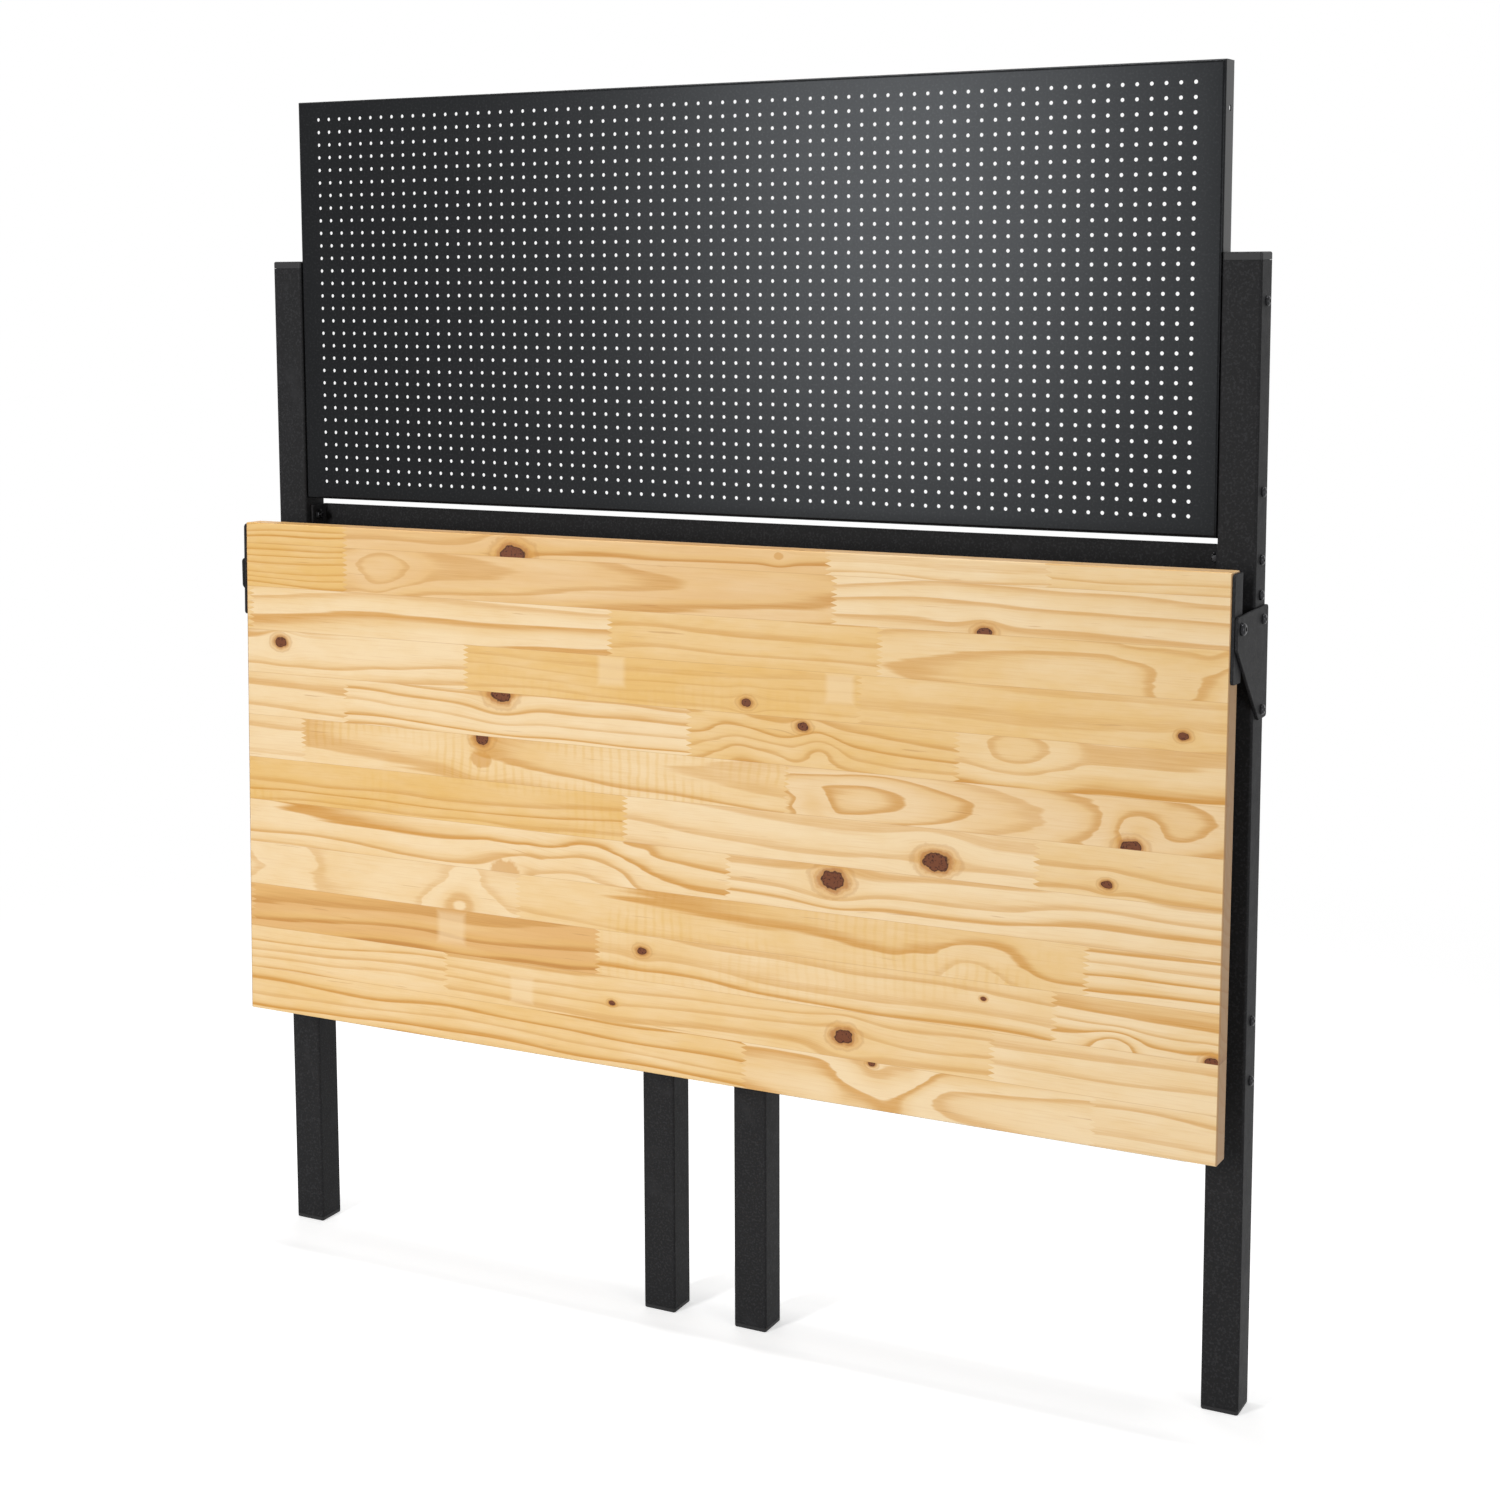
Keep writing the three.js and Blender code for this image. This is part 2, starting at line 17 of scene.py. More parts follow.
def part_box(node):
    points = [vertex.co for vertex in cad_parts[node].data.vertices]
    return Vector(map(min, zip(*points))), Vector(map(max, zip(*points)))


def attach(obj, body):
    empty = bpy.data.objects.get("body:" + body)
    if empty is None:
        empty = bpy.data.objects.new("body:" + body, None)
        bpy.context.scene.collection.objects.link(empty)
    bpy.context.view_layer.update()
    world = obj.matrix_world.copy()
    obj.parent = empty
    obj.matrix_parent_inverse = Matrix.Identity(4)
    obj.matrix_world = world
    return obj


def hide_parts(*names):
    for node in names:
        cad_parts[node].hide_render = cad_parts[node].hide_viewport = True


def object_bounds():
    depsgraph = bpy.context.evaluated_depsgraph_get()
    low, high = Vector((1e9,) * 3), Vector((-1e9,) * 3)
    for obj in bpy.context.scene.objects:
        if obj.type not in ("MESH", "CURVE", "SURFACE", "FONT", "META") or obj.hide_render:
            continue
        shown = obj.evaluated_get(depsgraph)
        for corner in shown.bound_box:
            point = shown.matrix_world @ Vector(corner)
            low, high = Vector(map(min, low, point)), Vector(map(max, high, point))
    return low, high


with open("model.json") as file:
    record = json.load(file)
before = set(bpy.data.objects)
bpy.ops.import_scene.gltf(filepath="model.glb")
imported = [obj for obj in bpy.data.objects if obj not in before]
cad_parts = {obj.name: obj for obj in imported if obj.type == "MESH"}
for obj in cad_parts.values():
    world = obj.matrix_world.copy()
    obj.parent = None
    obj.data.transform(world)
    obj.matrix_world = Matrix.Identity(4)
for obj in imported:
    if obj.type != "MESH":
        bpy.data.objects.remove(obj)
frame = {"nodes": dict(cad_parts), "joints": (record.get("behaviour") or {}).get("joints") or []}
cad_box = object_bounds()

bl_info = {
    "name": "Folding workbench",
    "version": (1, 0, 0),
    "blender": (4, 5, 0),
    "location": "3D View > Sidebar > Workbench",
    "description": "Builds the finished surfaces of a folding workbench around its frame",
    "category": "Object",
}

SIDES = (("left", -1), ("right", 1))
FRAME_BODY = "frame"
TOP_BODY = "top"


def mm(value):
    return value / 1000


Stave = namedtuple("Stave", "end tone strength gap heart lean chatter brown", defaults=(0.0, 0.0))

# Staves of the pine top, row by row from the rear edge and from left to right. The end is the right-hand
# one, in millimetres from the middle. The tone runs from pale 0 to honey 1, the strength says how clearly
# the rings show, and the gap between them is in millimetres. The heart lies so many millimetres above the
# row's middle and leans so many per metre. The chatter value is how strongly the sheen on the planer's marks
# is painted into the colour as bands, and brown how far the stave is stained brown.
STAVE_ROWS = (
    (
        Stave(-455, 0.75, 0.9, 7, 60, 0),
        Stave(168, 0.30, 0.9, 11, 30, 12, brown=0.5),
        Stave(412, 0.18, 0.5, 10, 50, -8),
        Stave(600, 0.38, 0.5, 9, 50, 8),
    ),
    (
        Stave(-455, 0.85, 1.0, 8, 80, 0),
        Stave(175, 0.25, 1.0, 13, 10, 45, brown=0.5),
        Stave(600, 0.10, 0.6, 12, -34, 8),
    ),
    (
        Stave(-592, 0.55, 0.5, 9, 50, 0),
        Stave(-97, 0.12, 0.9, 16, -42, -25),
        Stave(228, 0.65, 0.6, 16, 50, -8),
        Stave(600, 0.45, 0.9, 14, -18, -55),
    ),
    (
        Stave(-287, 0.08, 0.9, 13, 26, 16),
        Stave(205, 0.85, 0.3, 11, 60, 6, 0.2),
        Stave(600, 0.62, 0.4, 17, 40, -12),
    ),
    (
        Stave(-455, 0.10, 0.6, 19, 50, 0),
        Stave(3, 0.10, 1.0, 12, 70, 0),
        Stave(316, 0.65, 1.0, 9, 30, -16),
        Stave(600, 0.35, 1.0, 13, 14, 6),
    ),
    (
        Stave(-517, 0.05, 0.6, 20, 50, 0),
        Stave(122, 0.30, 0.7, 17, 16, -45, 1.0),
        Stave(600, 0.10, 1.0, 11, -2, 130, brown=0.25),
    ),
    (
        Stave(-77, 0.85, 0.8, 11, 30, 12, 0.4),
        Stave(405, 0.00, 0.6, 17, 40, -6),
        Stave(600, 0.38, 0.8, 14, 26, -26),
    ),
    (
        Stave(52, 0.15, 1.0, 12, 28, -28),
        Stave(600, 0.06, 0.8, 16, 60, 8),
    ),
    (
        Stave(-217, 0.10, 0.8, 16, 4, 60),
        Stave(460, 0.46, 0.8, 14, 22, -22, 0.6),
        Stave(600, 0.05, 1.0, 11, 70, 6),
    ),
    (
        Stave(-594, 0.40, 0.5, 9, 50, 0, brown=0.8),
        Stave(-112, 0.55, 1.0, 16, 26, 14, brown=1.0),
        Stave(427, 0.36, 1.0, 12, 46, -16, 0.4),
        Stave(600, 0.14, 0.9, 16, 30, -8),
    ),
    (
        Stave(-316, 0.36, 1.0, 12, 50, 12),
        Stave(360, 0.46, 0.9, 12, 46, 8),
        Stave(600, 0.10, 0.7, 17, 40, 0),
    ),
    (
        Stave(73, 0.56, 1.0, 11, 54, -8),
        Stave(470, 0.00, 0.8, 16, -6, -62),
        Stave(600, 0.02, 0.5, 19, 60, 0),
    ),
)

# Knots and their like: millimetres from the middle, millimetres below the rear edge, half length and kind.
# A dark knot has a core, a tan one is filled, the rings bulge at a swirl and close round an eye, and a
# patch is pale.
KNOT_KINDS = {"patch": -1.0, "eye": -0.5, "swirl": 0.0, "tan": 0.2, "dark": 1.0}
KNOTS = (
    (-223, 22, 17, "dark"),
    (110, 7, 6, "tan"),
    (-400, 50, 38, "eye"),
    (345, 76, 9, "dark"),
    (550, 118, 44, "swirl"),
    (-550, 143, 9, "dark"),
    (-95, 146, 20, "patch"),
    (73, 169, 7, "dark"),
    (183, 146, 19, "patch"),
    (555, 166, 6, "dark"),
    (-240, 182, 15, "dark"),
    (65, 217, 36, "swirl"),
    (140, 190, 7, "dark"),
    (160, 214, 26, "swirl"),
    (380, 194, 46, "eye"),
    (-265, 238, 10, "dark"),
    (-267, 262, 15, "tan"),
    (150, 270, 24, "swirl"),
    (503, 284, 11, "dark"),
    (512, 264, 30, "swirl"),
    (295, 321, 15, "dark"),
    (480, 325, 6, "dark"),
    (-130, 372, 60, "swirl"),
    (177, 354, 15, "dark"),
    (-235, 389, 20, "tan"),
    (-560, 414, 75, "swirl"),
    (-298, 430, 34, "swirl"),
    (340, 440, 48, "swirl"),
    (-308, 465, 22, "patch"),
    (-55, 461, 7, "dark"),
    (350, 461, 3, "dark"),
    (490, 492, 22, "swirl"),
    (-212, 527, 18, "patch"),
    (-93, 526, 4, "dark"),
    (192, 524, 12, "dark"),
    (592, 494, 8, "dark"),
    (225, 549, 5, "dark"),
    (235, 566, 46, "swirl"),
)
NO_KNOT = (10.0, 10.0, 0.001)
KNOT_LOOKS = ("knot_one", "knot_two", "knot_three")
FACE_LOOKS = ("stave_heart", "stave_lean", "stave_look", "stave_marks", "knot_kinds", *KNOT_LOOKS)


def length(name, description, millimetres):
    return FloatProperty(
        name=name, description=description, default=mm(millimetres), unit="LENGTH", subtype="DISTANCE"
    )


def angle(name, description, degrees):
    return FloatProperty(
        name=name, description=description, default=math.radians(degrees), unit="ROTATION", subtype="ANGLE"
    )


def number(name, description, value):
    return FloatProperty(name=name, description=description, default=value)


def count(name, description, value):
    return IntProperty(name=name, description=description, default=value, min=1)


def colour(name, description, red, green, blue):
    """A colour written in the 0 to 255 steps of a screen."""

    def linear(step):
        share = step / 255
        return share / 12.92 if share <= 0.04045 else ((share + 0.055) / 1.055) ** 2.4

    shares = tuple(linear(step) for step in (red, green, blue))
    return FloatVectorProperty(name=name, description=description, default=shares, subtype="COLOR", size=3)


class WorkbenchSizes(bpy.types.PropertyGroup):
    """Sizes that the frame's boxes don't give"""

    tube_wall: length("Tube wall", "Wall of the square tube", 2)
    tube_corner: length("Tube corner", "Outer corner radius of the square tube", 3)
    cap_height: length("Cap height", "Plastic head above the end of a post", 8)
    foot_height: length("Foot height", "Plastic head below the end of a leg", 5)
    end_rounding: length("End rounding", "Rounding of the plastic ends", 2)
    sheet_rounding: length("Sheet rounding", "Softened edge of the thick steel plates", 0.5)
    panel_sheet: length("Panel sheet", "Thickness of the perforated sheet", 1.2)
    panel_fold: length("Panel fold", "Outer radius of the folds of the panel", 3.5)
    hole_pitch: length("Hole pitch", "Distance between the holes of the panel", 15)
    hole_diameter: length("Hole diameter", "Diameter of the holes of the panel", 4.2)
    hole_columns: count("Hole columns", "Holes across the panel", 72)
    hole_rows: count("Hole rows", "Holes up the panel", 30)
    hole_sides: count("Hole sides", "Straight sides that draw one hole", 12)
    panel_bolt_holes: count("Panel bolt holes", "Bolt holes in each side of the panel, the top one free", 3)
    bolt_hole_sides: count("Bolt hole sides", "Straight sides that draw one bolt hole", 24)
    crossbar_sheet: length("Crossbar sheet", "Thickness of the crossbar", 3)
    crossbar_bend: length("Crossbar bend", "Outer radius of the bends of the crossbar", 4.5)
    top_thickness: length("Top thickness", "Thickness of the pine top", 28)
    top_depth: length("Top depth", "Front to rear edge of the pine top", 600)
    top_rounding: length("Top rounding", "Rounded edge of the pine top", 1.5)
    pivot_from_rear: length("Pivot from rear", "Pivot to the rear edge of the top", 57)
    hang_angle: angle("Hang angle", "Lean of the hanging top out of plumb", 1.4)
    stave_width: length("Stave width", "Width of a whole row of staves", 52.3)
    finger_pitch: length("Finger pitch", "Distance between the fingers of a joint", 5.8)
    finger_length: length("Finger length", "Length of the fingers of a joint", 8)
    plate_corner: length("Plate corner", "Corner radius of the hinge plates", 4)
    plate_foot: length("Plate foot", "Width of the lower end of a hinge plate", 29)
    plate_nose_drop: length("Plate nose drop", "Pivot to the slanted edge of a hinge plate", 20)
    bracket_sheet: length("Bracket sheet", "Thickness of the brackets on the top", 3)
    bracket_corner: length("Bracket corner", "Corner radius of the brackets", 5)
    bolt_radius: length("Bolt radius", "Shank of the bolts", 3)
    bolt_clearance: length("Bolt clearance", "Gap between a bolt and its hole in the panel", 0.3)
    bolt_head_radius: length("Bolt head", "Radius of the domed bolt heads", 5.25)
    bolt_head_height: length("Bolt head height", "Height of the domed bolt heads", 3.3)
    bolt_socket: length("Bolt socket", "Across the flats of the socket in a bolt head", 4)
    nut_across: length("Nut across flats", "Across the flats of the nuts", 10)
    nut_height: length("Nut height", "Height of the nuts", 5)
    bolt_tail: length("Bolt tail", "Thread beyond the nut", 2)
    pivot_radius: length("Pivot radius", "Shank of the pivot bolts", 4)
    pivot_head_radius: length("Pivot head", "Radius of the pivot bolt heads", 6.5)
    pivot_head_height: length("Pivot head height", "Height of the pivot bolt heads", 4.2)
    pivot_socket: length("Pivot socket", "Across the flats of the socket in a pivot bolt", 5)
    screw_radius: length("Screw radius", "Shank of the bracket screws", 2)
    screw_socket: length("Screw socket", "Across the flats of the socket in a bracket screw", 2.5)
    hinge_rounding: length("Hinge rounding", "Softened edge of the gate hinges", 0.3)
    bumper_rounding: length("Bumper rounding", "Rounded rim of the rubber bumpers", 2)


class WorkbenchColours(bpy.types.PropertyGroup):
    """Colours of the finishes"""

    pine_pale: colour("Pale pine", "Early wood of a pale stave", 241, 215, 173)
    pine_honey: colour("Honey pine", "Early wood of a honey stave", 229, 187, 116)
    pine_brown: colour("Brown pine", "Early wood of a brown stave", 223, 177, 117)
    pine_band: colour("Soft band", "The side of a ring where it darkens slowly", 223, 176, 99)
    pine_ring: colour("Pine ring", "Late wood of a pale stave", 206, 148, 71)
    pine_ring_honey: colour("Honey ring", "Late wood of a honey stave", 198, 137, 55)
    pine_ring_brown: colour("Brown ring", "Late wood of a brown stave", 191, 134, 69)
    # The end grain colour is partly the end grain's own darker colour and partly painted shade on the ends of the top.
    pine_end_and_shade: colour("End grain", "End grain of the staves", 173, 135, 97)
    knot_core: colour("Knot", "Bark and cracks of a dark knot", 62, 33, 23)
    knot_heart: colour("Knot heart", "Wood inside a dark knot", 114, 66, 42)
    knot_rim: colour("Knot rim", "Rings round a knot", 178, 118, 62)
    coat: colour("Powder coat", "Black powder coat of the steel", 35, 35, 36)
    coat_worn: colour("Coat scuffs", "Lighter scuffs of the powder coat", 56, 56, 58)
    panel: colour("Panel coat", "Black powder coat of the panel", 5, 5, 6)
    panel_sheen: colour("Panel sheen", "Tint of the panel's highlight", 243, 249, 255)
    plastic: colour("Plastic", "Caps and feet", 22, 22, 23)
    black_steel: colour("Black steel", "Blackened bolts and nuts", 46, 46, 48)
    zinc: colour("Zinc", "Plated screws and pins", 178, 181, 184)
    rubber: colour("Rubber", "Bumpers", 18, 18, 18)
    floor: colour("Floor", "Pale floor", 236, 236, 236)


class WorkbenchStage(bpy.types.PropertyGroup):
    """Camera and light"""

    camera_x: length("Camera X", "Camera to the right of the bench's middle", 1265)
    camera_y: length("Camera Y", "Camera behind the bench's middle", -2522)
    camera_z: length("Camera Z", "Camera above the floor", 1215)
    camera_heading: angle("Camera heading", "Camera turned to the left", 29.52)
    camera_tilt: angle("Camera tilt", "Camera tilted up", -7.03)
    camera_roll: angle("Camera roll", "Camera turned about its own axis", 0.64)
    camera_lens: number("Camera lens", "Focal length in millimetres on a 36 mm frame", 61.2)
    camera_shift_x: number("Camera shift X", "Sideways shift of the lens, in frame widths", 0.113)
    camera_shift_y: number("Camera shift Y", "Upward shift of the lens, in frame widths", -0.12)
    key_power: number("Key light", "Power of the tall light on the left, in watts", 64)
    fill_power: number("Fill light", "Power of the light on the right, in watts", 28)
    rear_power: number("Rear light", "Power of the light behind, in watts", 20)
    overhead_power: number("Overhead light", "Power of the light above, in watts", 43)
    sky_level: number("Sky level", "Strength of the even light from all round", 0.2)
    floor_lift: number("Floor lift", "Light that the floor adds to itself where it is seen", 0.53)
    floor_near: length("Floor near", "Radius within which the floor shows its shadows", 1000)
    floor_far: length("Floor far", "Radius beyond which the floor is as white as the background", 2400)


def sizes():
    return bpy.context.scene.workbench_sizes


def colours():
    return bpy.context.scene.workbench_colours


def stage_settings():
    return bpy.context.scene.workbench_stage


# Outlines and meshes
def rounded_outline(corners, radius, steps=5):
    """A flat outline whose corners are arcs. Corners are (u, v), and a radius of 0 keeps one sharp."""
    radii = radius if isinstance(radius, (list, tuple)) else [radius] * len(corners)
    points = []
    for index, corner in enumerate(corners):
        here = Vector(corner)
        if radii[index] <= 0:
            points.append(here)
            continue
        before = (Vector(corners[index - 1]) - here).normalized()
        after = (Vector(corners[(index + 1) % len(corners)]) - here).normalized()
        half = before.angle(after) / 2
        centre = here + (before + after).normalized() * radii[index] / math.sin(half)
        reach = radii[index] / math.tan(half)
        start = here + before * reach - centre
        end = here + after * reach - centre
        turn = start.angle(end)
        for step in range(steps + 1):
            share = step / steps
            arm = start * math.sin((1 - share) * turn) + end * math.sin(share * turn)
            points.append(centre + arm / math.sin(turn))
    return points


def inset(corners, distance):
    """The corners of a convex outline with every edge moved inwards."""
    moved = []
    for index, corner in enumerate(corners):
        here = Vector(corner)
        before = (Vector(corners[index - 1]) - here).normalized()
        after = (Vector(corners[(index + 1) % len(corners)]) - here).normalized()
        half = before.angle(after) / 2
        moved.append(here + (before + after).normalized() * distance / math.sin(half))
    return moved


def rectangle(low, high):
    return [(low[0], low[1]), (high[0], low[1]), (high[0], high[1]), (low[0], high[1])]


def circle(radius, sides):
    turns = [2 * math.pi * step / sides for step in range(sides)]
    return [Vector((radius * math.cos(turn), radius * math.sin(turn))) for turn in turns]


def hexagon(across_flats, sides, limit=math.inf):
    """A hexagon drawn with as many points as a circle, cut back to a limiting radius."""
    points = []
    for step in range(sides):
        turn = 2 * math.pi * step / sides
        from_flat = turn % (math.pi / 3) - math.pi / 6
        reach = min(across_flats / 2 / math.cos(from_flat), limit)
        points.append(Vector((reach * math.cos(turn), reach * math.sin(turn))))
    return points


def skin(mesh, rings, looped=False, capped=True):
    """Joins rings of equal length into a surface, and closes its two ends unless it loops."""
    rows = [[mesh.verts.new(point) for point in ring] for ring in rings]
    pairs = list(zip(rows, rows[1:]))
    if looped:
        pairs.append((rows[-1], rows[0]))
    for low, high in pairs:
        for index in range(len(low)):
            after = (index + 1) % len(low)
            mesh.faces.new((low[index], low[after], high[after], high[index]))
    if capped and not looped:
        mesh.faces.new(list(reversed(rows[0])))
        mesh.faces.new(rows[-1])
    return rows


def at_height(outline, height):
    return [Vector((point.x, point.y, height)) for point in outline]


def quarter_turns(steps):
    return [math.pi / 2 * step / steps for step in range(steps + 1)]


def new_object(name, mesh_data):
    made = bpy.data.objects.new(name, mesh_data)
    bpy.context.scene.collection.objects.link(made)
    return made


def mesh_from(name, made, place=None):
    """Turns a bmesh into a mesh whose faces point outwards."""
    bmesh.ops.remove_doubles(made, verts=made.verts, dist=mm(0.0001))
    if place is not None:
        made.transform(place)
    bmesh.ops.recalc_face_normals(made, faces=made.faces)
    if made.calc_volume(signed=True) < 0:
        bmesh.ops.reverse_faces(made, faces=made.faces)
    data = bpy.data.meshes.new(name)
    made.to_mesh(data)
    made.free()
    return data


def finish_piece(name, data, finish, body, nodes):
    """Makes a piece from a mesh: smooth where it is round, dressed, and riding on its body."""
    data.materials.clear()
    data.materials.append(finish)
    data.shade_smooth()
    data.set_sharp_from_angle(angle=math.radians(35))
    piece = new_object(name, data)
    even = piece.modifiers.new("Even normals", "WEIGHTED_NORMAL")
    even.keep_sharp = True
    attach(piece, body)
    if nodes:
        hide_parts(*nodes)
    return piece


# Building finishes
class Finish:
    """One material and the nodes that make its surface"""

    def __init__(self, name):
        self.material = bpy.data.materials.new(f"{name}_finish")
        self.material.use_nodes = True
        self.tree = self.material.node_tree
        self.tree.nodes.clear()
        self.output = self.tree.nodes.new("ShaderNodeOutputMaterial")
        self.shader = self.tree.nodes.new("ShaderNodeBsdfPrincipled")
        self.tree.links.new(self.shader.outputs["BSDF"], self.output.inputs["Surface"])

    def node(self, kind, inputs=(), **settings):
        made = self.tree.nodes.new(kind)
        for key, value in settings.items():
            setattr(made, key, value)
        for key, value in dict(inputs).items():
            self.feed(made.inputs[key], value)
        return made

    def feed(self, socket, value):
        if isinstance(value, bpy.types.NodeSocket):
            self.tree.links.new(value, socket)
        elif hasattr(value, "__len__") and socket.type == "RGBA":
            socket.default_value = (*value[:3], 1)
        else:
            socket.default_value = value

    def math(self, operation, first, second=0.0, clamp=False):
        made = self.node("ShaderNodeMath", {0: first, 1: second}, operation=operation, use_clamp=clamp)
        return made.outputs[0]

    def add(self, first, second):
        return self.math("ADD", first, second)

    def subtract(self, first, second):
        return self.math("SUBTRACT", first, second)

    def multiply(self, first, second):
        return self.math("MULTIPLY", first, second)

    def divide(self, first, second):
        return self.math("DIVIDE", first, second)

    def square(self, value):
        return self.math("MULTIPLY", value, value)

    def rise(self, value, low, high):
        """A soft step from 0 at low to 1 at high."""
        made = self.node("ShaderNodeMapRange", {0: value, 1: low, 2: high}, interpolation_type="SMOOTHSTEP")
        return made.outputs[0]

    def fall(self, value, low, high):
        """A soft step from 1 at low to 0 at high."""
        return self.rise(value, high, low)

    def spread(self, value, low, high):
        """A share from 0 to 1 stretched to run from low to high."""
        return self.node("ShaderNodeMapRange", {0: value, 3: low, 4: high}).outputs[0]

    def mix(self, share, first, second):
        made = self.node("ShaderNodeMix", data_type="RGBA")
        self.feed(made.inputs[0], share)
        self.feed(made.inputs[6], first)
        self.feed(made.inputs[7], second)
        return made.outputs[2]

    def attribute(self, name):
        return self.node("ShaderNodeAttribute", attribute_name=name).outputs["Vector"]

    def split(self, vector):
        made = self.node("ShaderNodeSeparateXYZ", {0: vector})
        return made.outputs[0], made.outputs[1], made.outputs[2]

    def vector(self, x, y, z):
        return self.node("ShaderNodeCombineXYZ", {0: x, 1: y, 2: z}).outputs[0]

    def object_place(self):
        return self.node("ShaderNodeTexCoord").outputs["Object"]

    def noise(self, place, scale, detail=2.0, roughness=0.5):
        inputs = {"Vector": place, "Scale": scale, "Detail": detail, "Roughness": roughness}
        return self.node("ShaderNodeTexNoise", inputs).outputs["Fac"]

    def bump(self, height, distance, strength=1.0):
        inputs = {"Height": height, "Distance": distance, "Strength": strength}
        self.feed(self.shader.inputs["Normal"], self.node("ShaderNodeBump", inputs).outputs[0])

    def surface(self, **inputs):
        for key, value in inputs.items():
            self.feed(self.shader.inputs[key.replace("_", " ").title().replace("Ior", "IOR")], value)
        return self.material


def finish_named(name, make):
    """The finish of that name, made on its first use. The frame's own materials have other names."""
    return bpy.data.materials.get(f"{name}_finish") or make()


def powder_coat():
    """Fine textured black coat with faint scuffs."""

    def make():
        finish = Finish("powder_coat")
        place = finish.object_place()
        grain = finish.noise(place, 900, 2)
        scuffs = finish.multiply(finish.rise(finish.noise(place, 22, 5, 0.65), 0.55, 0.8), 0.5)
        specks = finish.multiply(finish.rise(finish.noise(place, 430, 2), 0.48, 0.68), 0.55)
        base = finish.mix(finish.math("MAXIMUM", scuffs, specks), colours().coat, colours().coat_worn)
        finish.bump(grain, mm(0.12), 0.5)
        rough = finish.spread(finish.noise(place, 60, 3), 0.48, 0.62)
        return finish.surface(base_color=base, roughness=rough, specular_ior_level=0.07)

    return finish_named("powder_coat", make)


def panel_coat():
    """The smoother coat of the perforated sheet, which takes a broad soft highlight."""

    def make():
        finish = Finish("panel_coat")
        place = finish.object_place()
        grain = finish.noise(place, 700, 2)
        cloud = finish.noise(place, 9, 3)
        specks = finish.multiply(finish.rise(finish.noise(place, 380, 2), 0.5, 0.7), 0.22)
        base = finish.mix(finish.spread(cloud, 0.0, 0.2), colours().panel, colours().coat)
        base = finish.mix(specks, base, colours().coat_worn)
        finish.bump(grain, mm(0.03), 0.2)
        rough = finish.spread(cloud, 0.3, 0.34)
        return finish.surface(
            base_color=base, roughness=rough, specular_ior_level=0.145, specular_tint=colours().panel_sheen
        )

    return finish_named("panel_coat", make)


def black_plastic():
    """Moulded caps and feet with a fine matt grain."""

    def make():
        finish = Finish("black_plastic")
        place = finish.object_place()
        grain = finish.noise(place, 1600, 1)
        base = finish.mix(finish.noise(place, 40, 3), colours().plastic, colours().coat)
        finish.bump(grain, mm(0.05), 0.4)
        rough = finish.spread(grain, 0.5, 0.62)
        return finish.surface(base_color=base, roughness=rough, specular_ior_level=0.3)

    return finish_named("black_plastic", make)


def steel(name, tone, roughness, metallic):
    """Bolts, nuts and pins: plated or blackened metal with a mottled gloss."""

    def make():
        finish = Finish(name)
        place = finish.object_place()
        mottle = finish.noise(place, 350, 3)
        base = finish.mix(finish.spread(mottle, 0.0, 0.3), tone, [share * 0.7 for share in tone])
        rough = finish.spread(mottle, roughness - 0.06, roughness + 0.08)
        finish.bump(mottle, mm(0.03), 0.3)
        return finish.surface(base_color=base, roughness=rough, metallic=metallic)

    return finish_named(name, make)


def black_steel():
    return steel("black_steel", colours().black_steel, 0.3, 0.85)


def zinc_steel():
    return steel("zinc_steel", colours().zinc, 0.34, 1.0)


def rubber():
    def make():
        finish = Finish("rubber")
        place = finish.object_place()
        grain = finish.noise(place, 800, 3)
        base = finish.mix(grain, colours().rubber, colours().plastic)
        finish.bump(grain, mm(0.08), 0.5)
        return finish.surface(base_color=base, roughness=finish.spread(grain, 0.75, 0.9))

    return finish_named("rubber", make)


